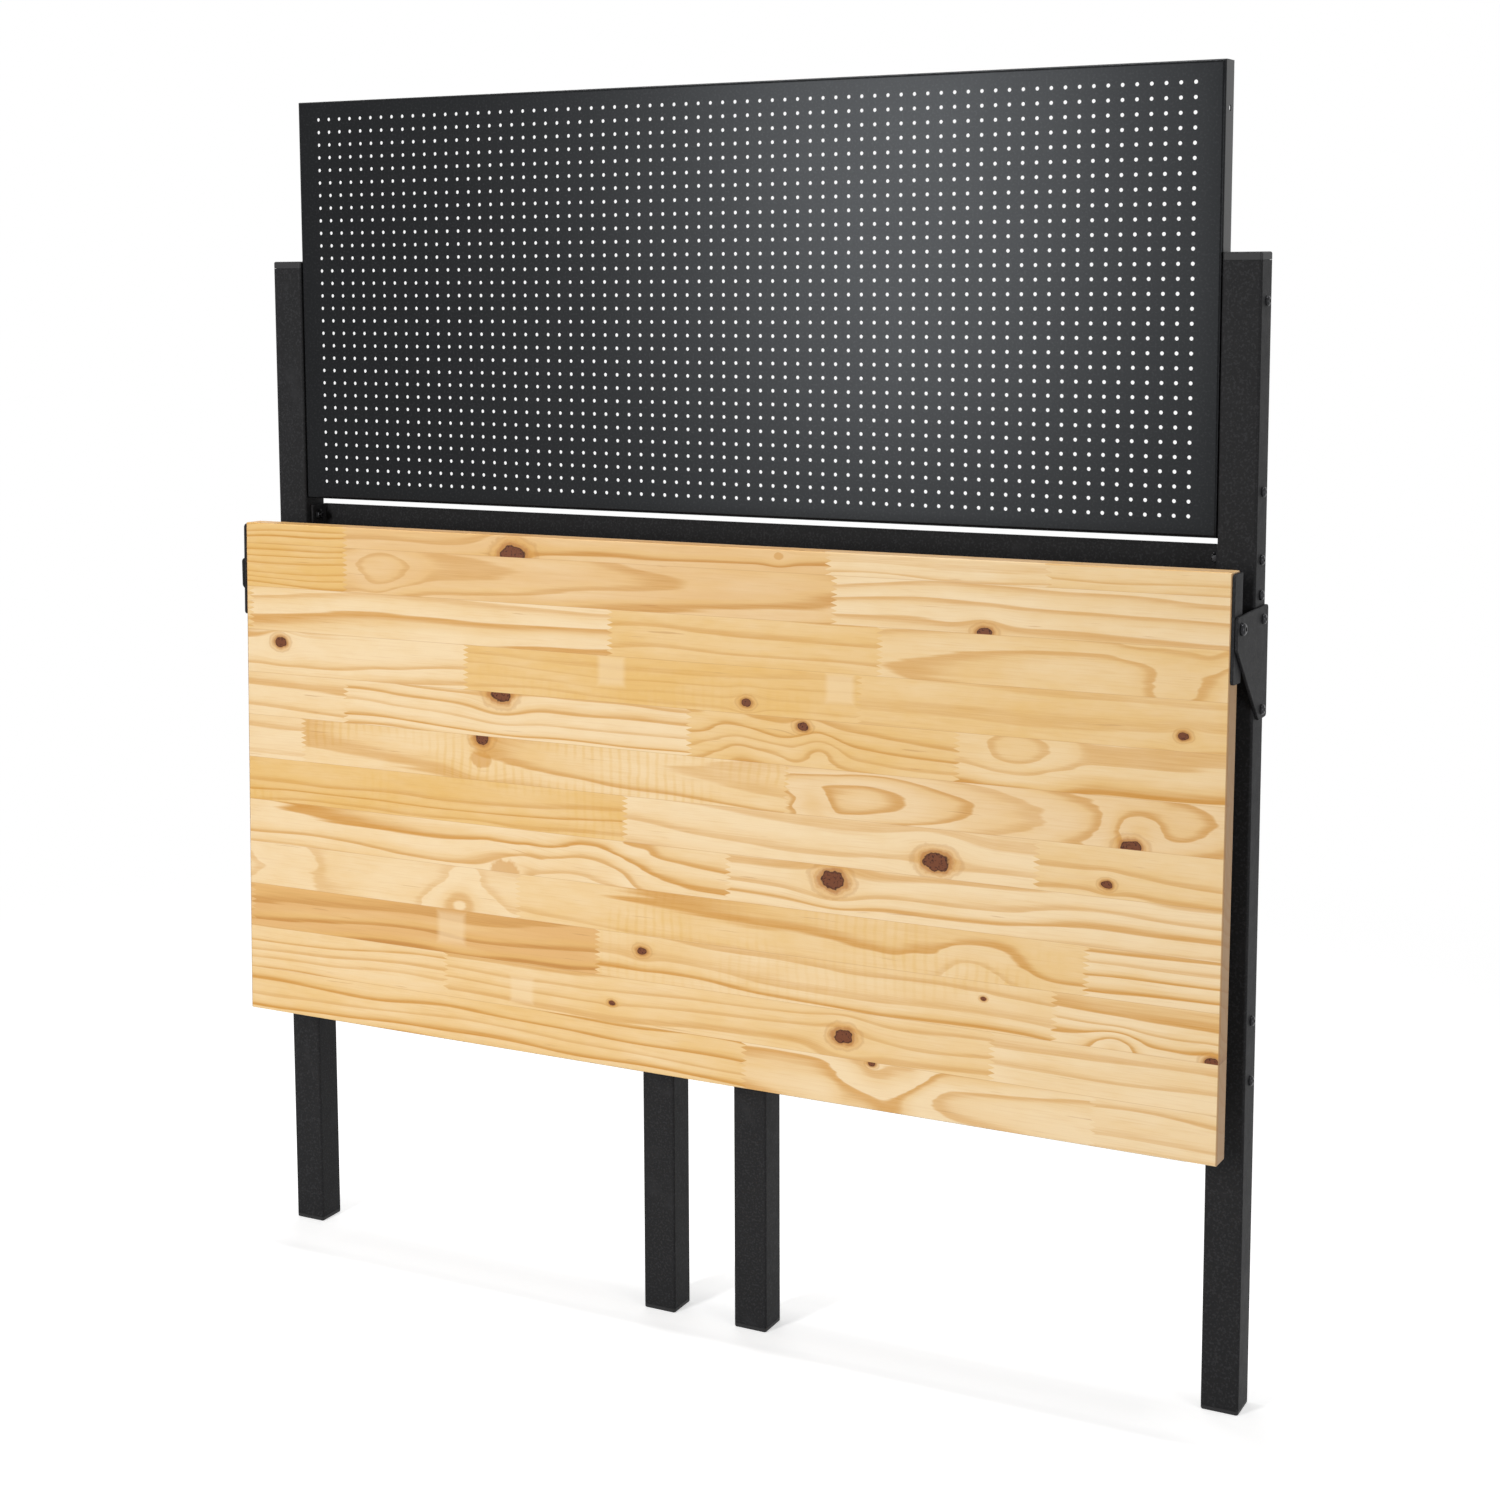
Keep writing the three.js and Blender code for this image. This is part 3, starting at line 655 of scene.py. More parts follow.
def pine():
    """Finger jointed pine: rings round each stave's own heart, bent aside by its knots."""

    def make():
        finish = Finish("pine")
        x, depth, height = finish.split(finish.attribute("board_place"))
        heart_depth, heart_height, ring_gap = finish.split(finish.attribute("stave_heart"))
        lean, heart_x, brown = finish.split(finish.attribute("stave_lean"))
        tone, strength, seed = finish.split(finish.attribute("stave_look"))
        chatter, row_top, row_foot = finish.split(finish.attribute("stave_marks"))
        end_grain, _, _ = finish.split(finish.attribute("end_grain"))

        def grain(along, across, detail=2.0, level=height):
            """Noise at so many waves per metre along and across the stave, different in every stave."""
            shifted = finish.add(finish.multiply(x, along), seed)
            place = finish.vector(shifted, finish.multiply(depth, across), finish.multiply(level, across))
            return finish.noise(place, 1.0, detail)

        ragged = finish.subtract(grain(110.0, 110.0), 0.5)
        lopsided = finish.spread(grain(22.0, 30.0, 0.0), 0.2, 1.8)
        knots = []
        bent = height
        closing = 0.0
        for name, kind in zip(KNOT_LOOKS, finish.split(finish.attribute("knot_kinds"))):
            knot_x, knot_height, knot_size = finish.split(finish.attribute(name))
            along = finish.divide(finish.subtract(x, knot_x), knot_size)
            across = finish.divide(finish.subtract(height, knot_height), knot_size)
            far = finish.add(finish.square(along), finish.square(finish.multiply(across, 1.45)))
            pull = finish.math("EXPONENT", finish.multiply(far, -0.14))
            bending = finish.multiply(finish.rise(kind, 0.1, 0.2), 0.85)
            push = finish.multiply(finish.multiply(across, knot_size), finish.multiply(pull, bending))
            bent = finish.subtract(bent, push)
            swirling = finish.multiply(finish.rise(kind, -0.1, 0.0), finish.fall(kind, 0.0, 0.1))
            hump = finish.math("EXPONENT", finish.multiply(finish.multiply(far, lopsided), -0.8))
            eyed = finish.multiply(finish.rise(kind, -0.6, -0.5), finish.fall(kind, -0.5, -0.4))
            bulge = finish.multiply(finish.subtract(swirling, eyed), 1.4)
            closing = finish.add(closing, finish.multiply(hump, bulge))
            knots.append((along, across, far, pull, kind))

        heart_shift = finish.multiply(finish.subtract(x, heart_x), lean)
        wander = finish.multiply(finish.subtract(grain(4.0, 14.0, 1.0), 0.5), mm(32))
        from_depth = finish.subtract(depth, finish.add(heart_depth, heart_shift))
        heart_now = finish.add(heart_height, finish.multiply(heart_shift, 0.3))
        from_height = finish.subtract(finish.add(bent, wander), heart_now)
        radius = finish.math("SQRT", finish.add(finish.square(from_depth), finish.square(from_height)))
        even_ring = finish.divide(radius, ring_gap)
        uneven = finish.noise(finish.vector(finish.multiply(even_ring, 0.6), seed, 0.0), 1.0, 1.0)
        feather = finish.multiply(finish.subtract(grain(5.0, 160.0, 1.0, bent), 0.5), 0.25)
        ring = finish.add(finish.add(even_ring, finish.multiply(uneven, 1.5)), finish.add(closing, feather))
        phase = finish.math("FRACT", ring)
        each = finish.node(
            "ShaderNodeTexWhiteNoise",
            {"Vector": finish.vector(finish.math("FLOOR", ring), seed, 0.0)},
            noise_dimensions="2D",
        ).outputs["Value"]
        clear = finish.multiply(finish.multiply(strength, finish.spread(each, 0.35, 1.0)), finish.fall(phase, 0.92, 1.0))
        fibre = grain(22.0, 900.0, 3.0, bent)
        streak = finish.multiply(finish.subtract(fibre, 0.5), 0.6)
        soft_band = finish.multiply(finish.rise(phase, 0.2, 0.75), clear)
        crisp_band = finish.multiply(finish.rise(phase, 0.6, 0.86), clear)

        cloud = grain(9.0, 25.0, 3.0)
        mottle = grain(40.0, 120.0, 2.0, bent)
        shade = finish.add(tone, finish.multiply(finish.subtract(cloud, 0.5), 0.9))
        shade = finish.add(shade, finish.multiply(finish.subtract(mottle, 0.5), 0.4))
        # The planer's marks: bands across the staves where the sheen that the marks catch is painted into the colour,
        # as painted sheen and shade.
        sway = finish.add(finish.multiply(x, 2 * math.pi / mm(11.5)), finish.multiply(cloud, 7.0))
        bars = finish.spread(finish.math("SINE", sway), 0.0, 1.0)
        patches = finish.rise(grain(6.0, 16.0, 1.0), 0.45, 0.6)
        painted_sheen_bands = finish.multiply(finish.multiply(bars, patches), finish.multiply(chatter, 0.3))
        shade = finish.math("ADD", shade, painted_sheen_bands, True)
        stain = finish.math("MULTIPLY", brown, finish.spread(grain(5.0, 60.0, 2.0, bent), 0.0, 2.0), True)
        early_wood = finish.mix(shade, colours().pine_pale, colours().pine_honey)
        early_wood = finish.mix(stain, early_wood, colours().pine_brown)
        late_wood = finish.mix(shade, colours().pine_ring, colours().pine_ring_honey)
        late_wood = finish.mix(stain, late_wood, colours().pine_ring_brown)
        wood = finish.mix(finish.multiply(soft_band, 0.55), early_wood, colours().pine_band)
        wood = finish.mix(finish.math("ADD", finish.multiply(crisp_band, 0.9), streak, True), wood, late_wood)
        pores = finish.rise(grain(14.0, 300.0, 2.0, bent), 0.70, 0.78)
        wood = finish.mix(finish.multiply(pores, 0.35), wood, colours().knot_rim)

        cracks = grain(420.0, 420.0)
        heartwood = finish.mix(finish.rise(cracks, 0.32, 0.48), colours().knot_core, colours().knot_heart)
        for along, across, far, pull, kind in knots:
            rim = finish.add(finish.math("SQRT", far), finish.multiply(ragged, 0.8))
            dark = finish.rise(kind, 0.3, 0.9)
            warmth = finish.multiply(finish.multiply(pull, pull), finish.multiply(dark, 0.35))
            wood = finish.mix(warmth, wood, colours().pine_band)
            halo = finish.multiply(finish.fall(rim, 1.4, 2.1), finish.multiply(dark, 0.55))
            waves = finish.spread(finish.math("COSINE", finish.multiply(rim, 18.0)), 0.6, 1.0)
            wood = finish.mix(finish.multiply(halo, waves), wood, colours().pine_ring)
            outline = finish.multiply(finish.rise(rim, 1.65, 1.85), finish.fall(rim, 1.9, 2.1))
            collar = finish.multiply(finish.rise(rim, 0.8, 0.95), finish.fall(rim, 1.1, 1.45))
            rings = finish.multiply(finish.add(finish.multiply(outline, 0.2), finish.multiply(collar, 0.7)), dark)
            wood = finish.mix(rings, wood, colours().knot_rim)
            core = finish.multiply(finish.fall(rim, 0.88, 1.0), dark)
            wood = finish.mix(core, wood, finish.mix(finish.rise(rim, 0.72, 0.95), heartwood, colours().knot_core))
            tan = finish.multiply(finish.rise(kind, 0.1, 0.2), finish.fall(kind, 0.3, 0.9))
            blob = finish.multiply(finish.fall(rim, 0.75, 1.05), finish.multiply(tan, 0.6))
            wood = finish.mix(blob, wood, colours().pine_ring)
            square_off = finish.math("MAXIMUM", finish.math("ABSOLUTE", along), finish.math("ABSOLUTE", across))
            pale = finish.multiply(finish.fall(square_off, 0.6, 1.05), finish.fall(kind, -0.9, -0.7))
            wood = finish.mix(finish.multiply(pale, 0.5), wood, colours().pine_pale)

        edge = finish.math("MINIMUM", finish.subtract(row_top, height), finish.subtract(height, row_foot))
        glue = finish.fall(edge, 0.0, mm(0.5))
        wood = finish.mix(finish.multiply(glue, 0.35), wood, colours().knot_rim)
        # The end faces and the rounding at the ends take the end grain colour, which is partly the end grain's own
        # darker colour and partly painted shade on the ends.
        wood = finish.mix(finish.multiply(end_grain, 0.85), wood, colours().pine_end_and_shade)
        finish.bump(finish.subtract(fibre, finish.multiply(crisp_band, 0.5)), mm(0.1), 0.3)
        rough = finish.spread(fibre, 0.44, 0.56)
        return finish.surface(base_color=wood, roughness=rough, specular_ior_level=0.15)

    return finish_named("pine", make)


# Square tube and its plastic ends
def square(size, corner, steps=5):
    half = size / 2
    return rounded_outline(rectangle((-half, -half), (half, half)), corner, steps)


def tube_mesh(name, low, high, low_lean, high_lean, place):
    """A square tube on its own Z. A lean of 1 or -1 mitres an end, with the long side on that side of X."""
    size = tube_size()
    wall = sizes().tube_wall
    outer = square(size, sizes().tube_corner)
    inner = square(size - 2 * wall, max(sizes().tube_corner - wall, mm(0.5)))

    def end(outline, height, lean, inwards):
        setback = [abs(lean) * size / 2 - lean * point.x for point in outline]
        return [Vector((point.x, point.y, height + inwards * back)) for point, back in zip(outline, setback)]

    made = bmesh.new()
    rings = [
        end(outer, low, low_lean, 1),
        end(outer, high, high_lean, -1),
        end(inner, high, high_lean, -1),
        end(inner, low, low_lean, 1),
    ]
    skin(made, rings, looped=True)
    return mesh_from(name, made, place)


def tube_size():
    low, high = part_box("left_post")
    return high.x - low.x


def tube_end_mesh(name, node, head, upwards):
    """A rounded head on a plug that fits the bore of the tube."""
    low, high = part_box(node)
    size = tube_size()
    rounding = sizes().end_rounding
    plug = size - 2 * sizes().tube_wall - mm(0.6)
    reach = high.z - low.z
    outlines = [(square(plug, mm(1)), 0), (square(plug, mm(1)), reach - head)]
    outlines.append((square(size, sizes().tube_corner), reach - head))
    for turn in quarter_turns(5):
        smaller = rounding * (1 - math.cos(turn))
        outline = square(size - 2 * smaller, max(sizes().tube_corner - smaller, mm(0.3)))
        outlines.append((outline, reach - rounding + rounding * math.sin(turn)))
    made = bmesh.new()
    skin(made, [at_height(outline, height) for outline, height in outlines])
    middle = (low + high) / 2
    seat = Matrix.Translation((middle.x, middle.y, low.z if upwards else high.z))
    if not upwards:
        seat = seat @ Matrix.Rotation(math.pi, 4, "X")
    return mesh_from(name, made, seat)


class WORKBENCH_OT_posts(bpy.types.Operator):
    """Builds the two square posts"""

    bl_idname = "workbench.posts"
    bl_label = "Posts"

    def execute(self, context):
        for side_name, _ in SIDES:
            node = f"{side_name}_post"
            low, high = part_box(node)
            middle = (low + high) / 2
            place = Matrix.Translation((middle.x, middle.y, 0))
            data = tube_mesh(node, low.z, high.z, 0, 0, place)
            finish_piece(f"{node}_tube", data, powder_coat(), FRAME_BODY, [node])
        return {"FINISHED"}


class WORKBENCH_OT_gates(bpy.types.Operator):
    """Builds the tubes of the two leg gates"""

    bl_idname = "workbench.gates"
    bl_label = "Leg gates"

    def execute(self, context):
        for side_name, side in SIDES:
            for part, low_lean, high_lean in (("leg", 0, -side), ("stile", side, side)):
                self.upright(f"{side_name}_gate_{part}", low_lean, high_lean)
            for part, low_lean, high_lean in (("upper_rail", 1, 1), ("lower_rail", 0, -1)):
                self.rail(f"{side_name}_gate_{part}", side, low_lean, high_lean)
        return {"FINISHED"}

    def upright(self, node, low_lean, high_lean):
        low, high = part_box(node)
        middle = (low + high) / 2
        place = Matrix.Translation((middle.x, middle.y, 0))
        data = tube_mesh(node, low.z, high.z, low_lean, high_lean, place)
        finish_piece(f"{node}_tube", data, powder_coat(), FRAME_BODY, [node])

    def rail(self, node, side, low_lean, high_lean):
        low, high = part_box(node)
        middle = (low + high) / 2
        ends = sorted((abs(low.x), abs(high.x)))
        turn = Matrix(((0, 0, side), (0, -side, 0), (1, 0, 0))).to_4x4()
        place = Matrix.Translation((0, middle.y, middle.z)) @ turn
        data = tube_mesh(node, ends[0], ends[1], low_lean, high_lean, place)
        finish_piece(f"{node}_tube", data, powder_coat(), FRAME_BODY, [node])


class WORKBENCH_OT_tube_ends(bpy.types.Operator):
    """Builds the plastic caps and feet of the tubes"""

    bl_idname = "workbench.tube_ends"
    bl_label = "Caps and feet"

    def execute(self, context):
        for side_name, _ in SIDES:
            ends = (
                (f"{side_name}_post_cap", sizes().cap_height, True),
                (f"{side_name}_post_foot", sizes().foot_height, False),
                (f"{side_name}_gate_foot", sizes().foot_height, False),
            )
            for node, head, upwards in ends:
                data = tube_end_mesh(node, node, head, upwards)
                finish_piece(f"{node}_moulding", data, black_plastic(), FRAME_BODY, [node])
        return {"FINISHED"}


# Geometry node trees
def node_tree(name, inputs):
    """An empty geometry node tree with named inputs, its input and output nodes, and the sockets' identifiers."""
    tree = bpy.data.node_groups.new(name, "GeometryNodeTree")
    identifiers = {}
    for label, kind in (("Geometry", "NodeSocketGeometry"), *inputs):
        socket = tree.interface.new_socket(label, in_out="INPUT", socket_type=kind)
        identifiers[label] = socket.identifier
    tree.interface.new_socket("Geometry", in_out="OUTPUT", socket_type="NodeSocketGeometry")
    return tree, tree.nodes.new("NodeGroupInput"), tree.nodes.new("NodeGroupOutput"), identifiers


def tree_node(tree, kind, inputs=(), **settings):
    made = tree.nodes.new(kind)
    for key, value in settings.items():
        setattr(made, key, value)
    for key, value in dict(inputs).items():
        if isinstance(value, bpy.types.NodeSocket):
            tree.links.new(value, made.inputs[key])
        else:
            made.inputs[key].default_value = value
    return made


def mesh_through_tree(data, tree, identifiers, values):
    """Runs a mesh through a node tree and returns the result as a plain mesh."""
    carrier = new_object(f"{tree.name}_carrier", data)
    modifier = carrier.modifiers.new(tree.name, "NODES")
    modifier.node_group = tree
    for label, value in values.items():
        modifier[identifiers[label]] = value
    evaluated = carrier.evaluated_get(bpy.context.evaluated_depsgraph_get())
    result = bpy.data.meshes.new_from_object(evaluated)
    carrier.modifiers.clear()
    bpy.data.objects.remove(carrier)
    return result


# Perforated panel
def perforation_tree():
    """A field of square cells, each with a round hole through the sheet, welded to the sheet's border."""
    tree, given, result, identifiers = node_tree(
        "perforations",
        (
            ("Columns", "NodeSocketInt"),
            ("Rows", "NodeSocketInt"),
            ("Pitch", "NodeSocketFloat"),
            ("Hole Diameter", "NodeSocketFloat"),
            ("Hole Sides", "NodeSocketInt"),
            ("Sheet", "NodeSocketFloat"),
            ("Middle", "NodeSocketVector"),
            ("Weld", "NodeSocketFloat"),
            ("Bolt Holes", "NodeSocketInt"),
            ("Bolt Hole Radius", "NodeSocketFloat"),
            ("Bolt Hole Sides", "NodeSocketInt"),
            ("Lowest Bolt Hole", "NodeSocketVector"),
            ("Bolt Hole Spacing", "NodeSocketFloat"),
            ("Drill Length", "NodeSocketFloat"),
            ("Finish", "NodeSocketMaterial"),
        ),
    )
    wanted = given.outputs

    def arithmetic(operation, first, second):
        return tree_node(tree, "ShaderNodeMath", {0: first, 1: second}, operation=operation).outputs[0]

    def span(cells):
        return arithmetic("MULTIPLY", arithmetic("SUBTRACT", wanted[cells], 1.0), wanted["Pitch"])

    hole_radius = arithmetic("MULTIPLY", wanted["Hole Diameter"], 0.5)
    cell_edge = tree_node(
        tree, "GeometryNodeCurvePrimitiveQuadrilateral", {"Width": wanted["Pitch"], "Height": wanted["Pitch"]}
    )
    hole_edge = tree_node(
        tree, "GeometryNodeCurvePrimitiveCircle", {"Resolution": wanted["Hole Sides"], "Radius": hole_radius}
    )
    edges = tree_node(tree, "GeometryNodeJoinGeometry")
    tree.links.new(hole_edge.outputs[0], edges.inputs[0])
    tree.links.new(cell_edge.outputs[0], edges.inputs[0])
    front = tree_node(tree, "GeometryNodeFillCurve", {0: edges.outputs[0]})
    inwards = tree_node(tree, "ShaderNodeCombineXYZ", {2: arithmetic("MULTIPLY", wanted["Sheet"], -1.0)})
    turned = tree_node(tree, "GeometryNodeFlipFaces", {0: front.outputs[0]})
    back = tree_node(tree, "GeometryNodeTransform", {"Geometry": turned.outputs[0], "Translation": inwards.outputs[0]})
    rim = tree_node(
        tree, "GeometryNodeMeshCircle", {"Vertices": wanted["Hole Sides"], "Radius": hole_radius}
    )
    wall = tree_node(
        tree, "GeometryNodeExtrudeMesh", {"Mesh": rim.outputs[0], "Offset": inwards.outputs[0]}, mode="EDGES"
    )
    wall_inwards = tree_node(tree, "GeometryNodeFlipFaces", {0: wall.outputs[0]})
    cell = tree_node(tree, "GeometryNodeJoinGeometry")
    for part in (wall_inwards.outputs[0], back.outputs[0], front.outputs[0]):
        tree.links.new(part, cell.inputs[0])
    field = tree_node(
        tree,
        "GeometryNodeMeshGrid",
        {
            "Size X": span("Columns"),
            "Size Y": span("Rows"),
            "Vertices X": wanted["Columns"],
            "Vertices Y": wanted["Rows"],
        },
    )
    cells = tree_node(
        tree, "GeometryNodeInstanceOnPoints", {"Points": field.outputs[0], "Instance": cell.outputs[0]}
    )
    upright = tree_node(
        tree,
        "GeometryNodeTransform",
        {"Geometry": cells.outputs[0], "Translation": wanted["Middle"], "Rotation": (math.pi / 2, 0, 0)},
    )
    whole = tree_node(tree, "GeometryNodeJoinGeometry")
    for part in (upright.outputs[0], wanted["Geometry"]):
        tree.links.new(part, whole.inputs[0])
    real = tree_node(tree, "GeometryNodeRealizeInstances", {0: whole.outputs[0]})
    welded = tree_node(
        tree, "GeometryNodeMergeByDistance", {"Geometry": real.outputs[0], "Distance": wanted["Weld"]}
    )
    drill = tree_node(
        tree,
        "GeometryNodeMeshCylinder",
        {
            "Vertices": wanted["Bolt Hole Sides"],
            "Radius": wanted["Bolt Hole Radius"],
            "Depth": wanted["Drill Length"],
        },
    )
    level = tree_node(
        tree, "GeometryNodeTransform", {"Geometry": drill.outputs[0], "Rotation": (0, math.pi / 2, 0)}
    )
    spacing = tree_node(tree, "ShaderNodeCombineXYZ", {2: wanted["Bolt Hole Spacing"]})
    drill_places = tree_node(
        tree,
        "GeometryNodeMeshLine",
        {
            "Count": wanted["Bolt Holes"],
            "Start Location": wanted["Lowest Bolt Hole"],
            "Offset": spacing.outputs[0],
        },
    )
    drills = tree_node(
        tree, "GeometryNodeInstanceOnPoints", {"Points": drill_places.outputs[0], "Instance": level.outputs[0]}
    )
    real_drills = tree_node(tree, "GeometryNodeRealizeInstances", {0: drills.outputs[0]})
    drilled = tree_node(
        tree,
        "GeometryNodeMeshBoolean",
        {0: welded.outputs[0], 1: real_drills.outputs[0]},
        operation="DIFFERENCE",
        solver="MANIFOLD",
    )
    dressed = tree_node(
        tree, "GeometryNodeSetMaterial", {"Geometry": drilled.outputs[0], "Material": wanted["Finish"]}
    )
    tree.links.new(dressed.outputs[0], result.inputs[0])
    return tree, identifiers


def middle_of(node):
    low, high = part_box(node)
    return (low + high) / 2


class WORKBENCH_OT_panel(bpy.types.Operator):
    """Builds the perforated panel with its folded edges"""

    bl_idname = "workbench.panel"
    bl_label = "Perforated panel"

    def execute(self, context):
        low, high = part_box("perforated_panel")
        middle = (low + high) / 2
        lower_bolt, upper_bolt = (middle_of(f"right_panel_bolt_{end}") for end in ("lower", "upper"))
        tree, identifiers = perforation_tree()
        values = {
            "Columns": sizes().hole_columns,
            "Rows": sizes().hole_rows,
            "Pitch": sizes().hole_pitch,
            "Hole Diameter": sizes().hole_diameter,
            "Hole Sides": sizes().hole_sides,
            "Sheet": sizes().panel_sheet,
            "Middle": (middle.x, low.y, middle.z),
            "Weld": mm(0.01),
            "Bolt Holes": sizes().panel_bolt_holes,
            "Bolt Hole Radius": sizes().bolt_radius + sizes().bolt_clearance,
            "Bolt Hole Sides": sizes().bolt_hole_sides,
            "Lowest Bolt Hole": (middle.x, lower_bolt.y, lower_bolt.z),
            "Bolt Hole Spacing": upper_bolt.z - lower_bolt.z,
            "Drill Length": (high.x - low.x) * 1.1,
            "Finish": panel_coat(),
        }
        data = mesh_through_tree(self.border(low, high), tree, identifiers, values)
        data.name = "perforated_sheet"
        finish_piece(data.name, data, panel_coat(), FRAME_BODY, ["perforated_panel"])
        return {"FINISHED"}

    def border(self, low, high):
        """The plain margin and the folded flanges, as rings round the field of holes."""
        made = bmesh.new()
        profile = self.profile(high.y - low.y)
        rings = [self.ring(low, high, inset_by, depth) for inset_by, depth in reversed(profile)]
        skin(made, rings, capped=False)
        data = bpy.data.meshes.new("panel_border")
        made.to_mesh(data)
        made.free()
        return data

    def profile(self, depth):
        """Inset from the outer edge and depth, from the front of the field over the fold to its back."""
        fold = sizes().panel_fold
        sheet = sizes().panel_sheet
        points = [(None, 0)]
        points += [(fold - fold * math.sin(turn), fold - fold * math.cos(turn)) for turn in quarter_turns(4)]
        points += [(0, depth), (sheet, depth)]
        inner = fold - sheet
        for turn in reversed(quarter_turns(3)):
            points.append((fold - inner * math.sin(turn), fold - inner * math.cos(turn)))
        return points + [(None, sheet)]

    def ring(self, low, high, inset_by, depth):
        """One line round the panel, with a point at every edge between two cells."""
        pitch = sizes().hole_pitch
        halves = []
        for size, cells in ((high.x - low.x, sizes().hole_columns), (high.z - low.z, sizes().hole_rows)):
            field = cells * pitch / 2
            outer = field if inset_by is None else size / 2 - inset_by
            inner_edges = [-field + pitch * step for step in range(1, cells)]
            halves.append([-outer, *inner_edges, outer])
        across, up = halves
        middle = (low + high) / 2
        path = [(x, up[0]) for x in across[:-1]]
        path += [(across[-1], z) for z in up[:-1]]
        path += [(x, up[-1]) for x in reversed(across[1:])]
        path += [(across[0], z) for z in reversed(up[1:])]
        return [Vector((middle.x + x, low.y + depth, middle.z + z)) for x, z in path]


# Crossbar, hinge plates and brackets
class WORKBENCH_OT_crossbar(bpy.types.Operator):
    """Builds the crossbar with its ends bent forward"""

    bl_idname = "workbench.crossbar"
    bl_label = "Crossbar"

    def execute(self, context):
        low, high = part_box("crossbar")
        sheet = sizes().crossbar_sheet
        outer = sizes().crossbar_bend
        edge = sizes().sheet_rounding
        corners = [
            (low.x, high.y),
            (low.x, low.y),
            (low.x + sheet, low.y),
            (low.x + sheet, high.y - sheet),
            (high.x - sheet, high.y - sheet),
            (high.x - sheet, low.y),
            (high.x, low.y),
            (high.x, high.y),
        ]
        radii = [outer, edge, edge, outer - sheet, outer - sheet, edge, edge, outer]
        outline = rounded_outline(corners, radii, 6)
        made = bmesh.new()
        skin(made, [at_height(outline, height) for height in (low.z, high.z)])
        data = mesh_from("crossbar_channel", made)
        finish_piece("crossbar_channel", data, powder_coat(), FRAME_BODY, ["crossbar"])
        return {"FINISHED"}


def plate_across_x(made, corners, radius, near, far):
    """A plate drawn in Y and Z between two places on X, with softened edges."""
    edge = sizes().sheet_rounding
    smaller = rounded_outline(inset(corners, edge), radius - edge, 6)
    full = rounded_outline(corners, radius, 6)
    rings = []
    for outline, x in ((smaller, near), (full, near + edge), (full, far - edge), (smaller, far)):
        rings.append([Vector((x, point.x, point.y)) for point in outline])
    skin(made, rings)


class WORKBENCH_OT_hinge_plates(bpy.types.Operator):
    """Builds the plates that carry the top's pivots"""

    bl_idname = "workbench.hinge_plates"
    bl_label = "Hinge plates"

    def execute(self, context):
        pivot = Vector(frame["joints"][0]["pos_m"])
        for side_name, _ in SIDES:
            node = f"{side_name}_hinge_plate"
            low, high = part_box(node)
            corners = [
                (high.y, low.z),
                (high.y, high.z),
                (low.y, high.z),
                (low.y, pivot.z - sizes().plate_nose_drop),
                (high.y - sizes().plate_foot, low.z),
            ]
            made = bmesh.new()
            plate_across_x(made, corners, sizes().plate_corner, low.x, high.x)
            data = mesh_from(node, made)
            finish_piece(f"{node}_steel", data, powder_coat(), FRAME_BODY, [node])
        return {"FINISHED"}


def top_place():
    """Turns the top's own frame, with the pivot at zero and the rear edge up, into the bench's."""
    pivot = Vector(frame["joints"][0]["pos_m"])
    return Matrix.Translation(pivot) @ Matrix.Rotation(-sizes().hang_angle, 4, "X")


class WORKBENCH_OT_top_brackets(bpy.types.Operator):
    """Builds the angle brackets on the ends of the top"""

    bl_idname = "workbench.top_brackets"
    bl_label = "Top brackets"

    def execute(self, context):
        for side_name, side in SIDES:
            node = f"{side_name}_top_bracket"
            made = bmesh.new()
            self.angle(made, node, side)
            data = mesh_from(node, made, top_place())
            finish_piece(f"{node}_steel", data, powder_coat(), TOP_BODY, [node])
        return {"FINISHED"}

    def angle(self, made, node, side):
        """An angle section drawn in X and Y, run along the end of the top, with its front corners rounded."""
        sheet = sizes().bracket_sheet
        corner = sizes().bracket_corner
        edge = sizes().sheet_rounding
        low, high = self.own_box(node)
        outer = max((low.x, high.x), key=abs)
        inner = min((low.x, high.x), key=abs)
        front, back = low.y, high.y
        corners = [
            (outer, front),
            (outer, back),
            (inner, back),
            (inner, back - sheet),
            (outer - side * sheet, back - sheet),
            (outer - side * sheet, front),
        ]
        bend = sheet + mm(1.5)
        outline = rounded_outline(corners, [edge, bend, edge, edge, bend - sheet, edge], 5)
        rings = []
        for turn in quarter_turns(5):
            rings.append((corner * (1 - math.sin(turn)), low.z + corner * (1 - math.cos(turn))))
        rings += [(setback, low.z + high.z - height) for setback, height in reversed(rings)]
        middle = (front + back) / 2

        def pulled(point, setback):
            return max(point.y, front + setback) if point.y < middle else point.y

        skin(made, [[Vector((point.x, pulled(point, setback), z)) for point in outline] for setback, z in rings])

    def own_box(self, node):
        """The node's corners in the top's own frame."""
        back = top_place().inverted()
        points = [back @ vertex.co for vertex in frame["nodes"][node].data.vertices]
        low = Vector([min(point[axis] for point in points) for axis in range(3)])
        high = Vector([max(point[axis] for point in points) for axis in range(3)])
        return low, high


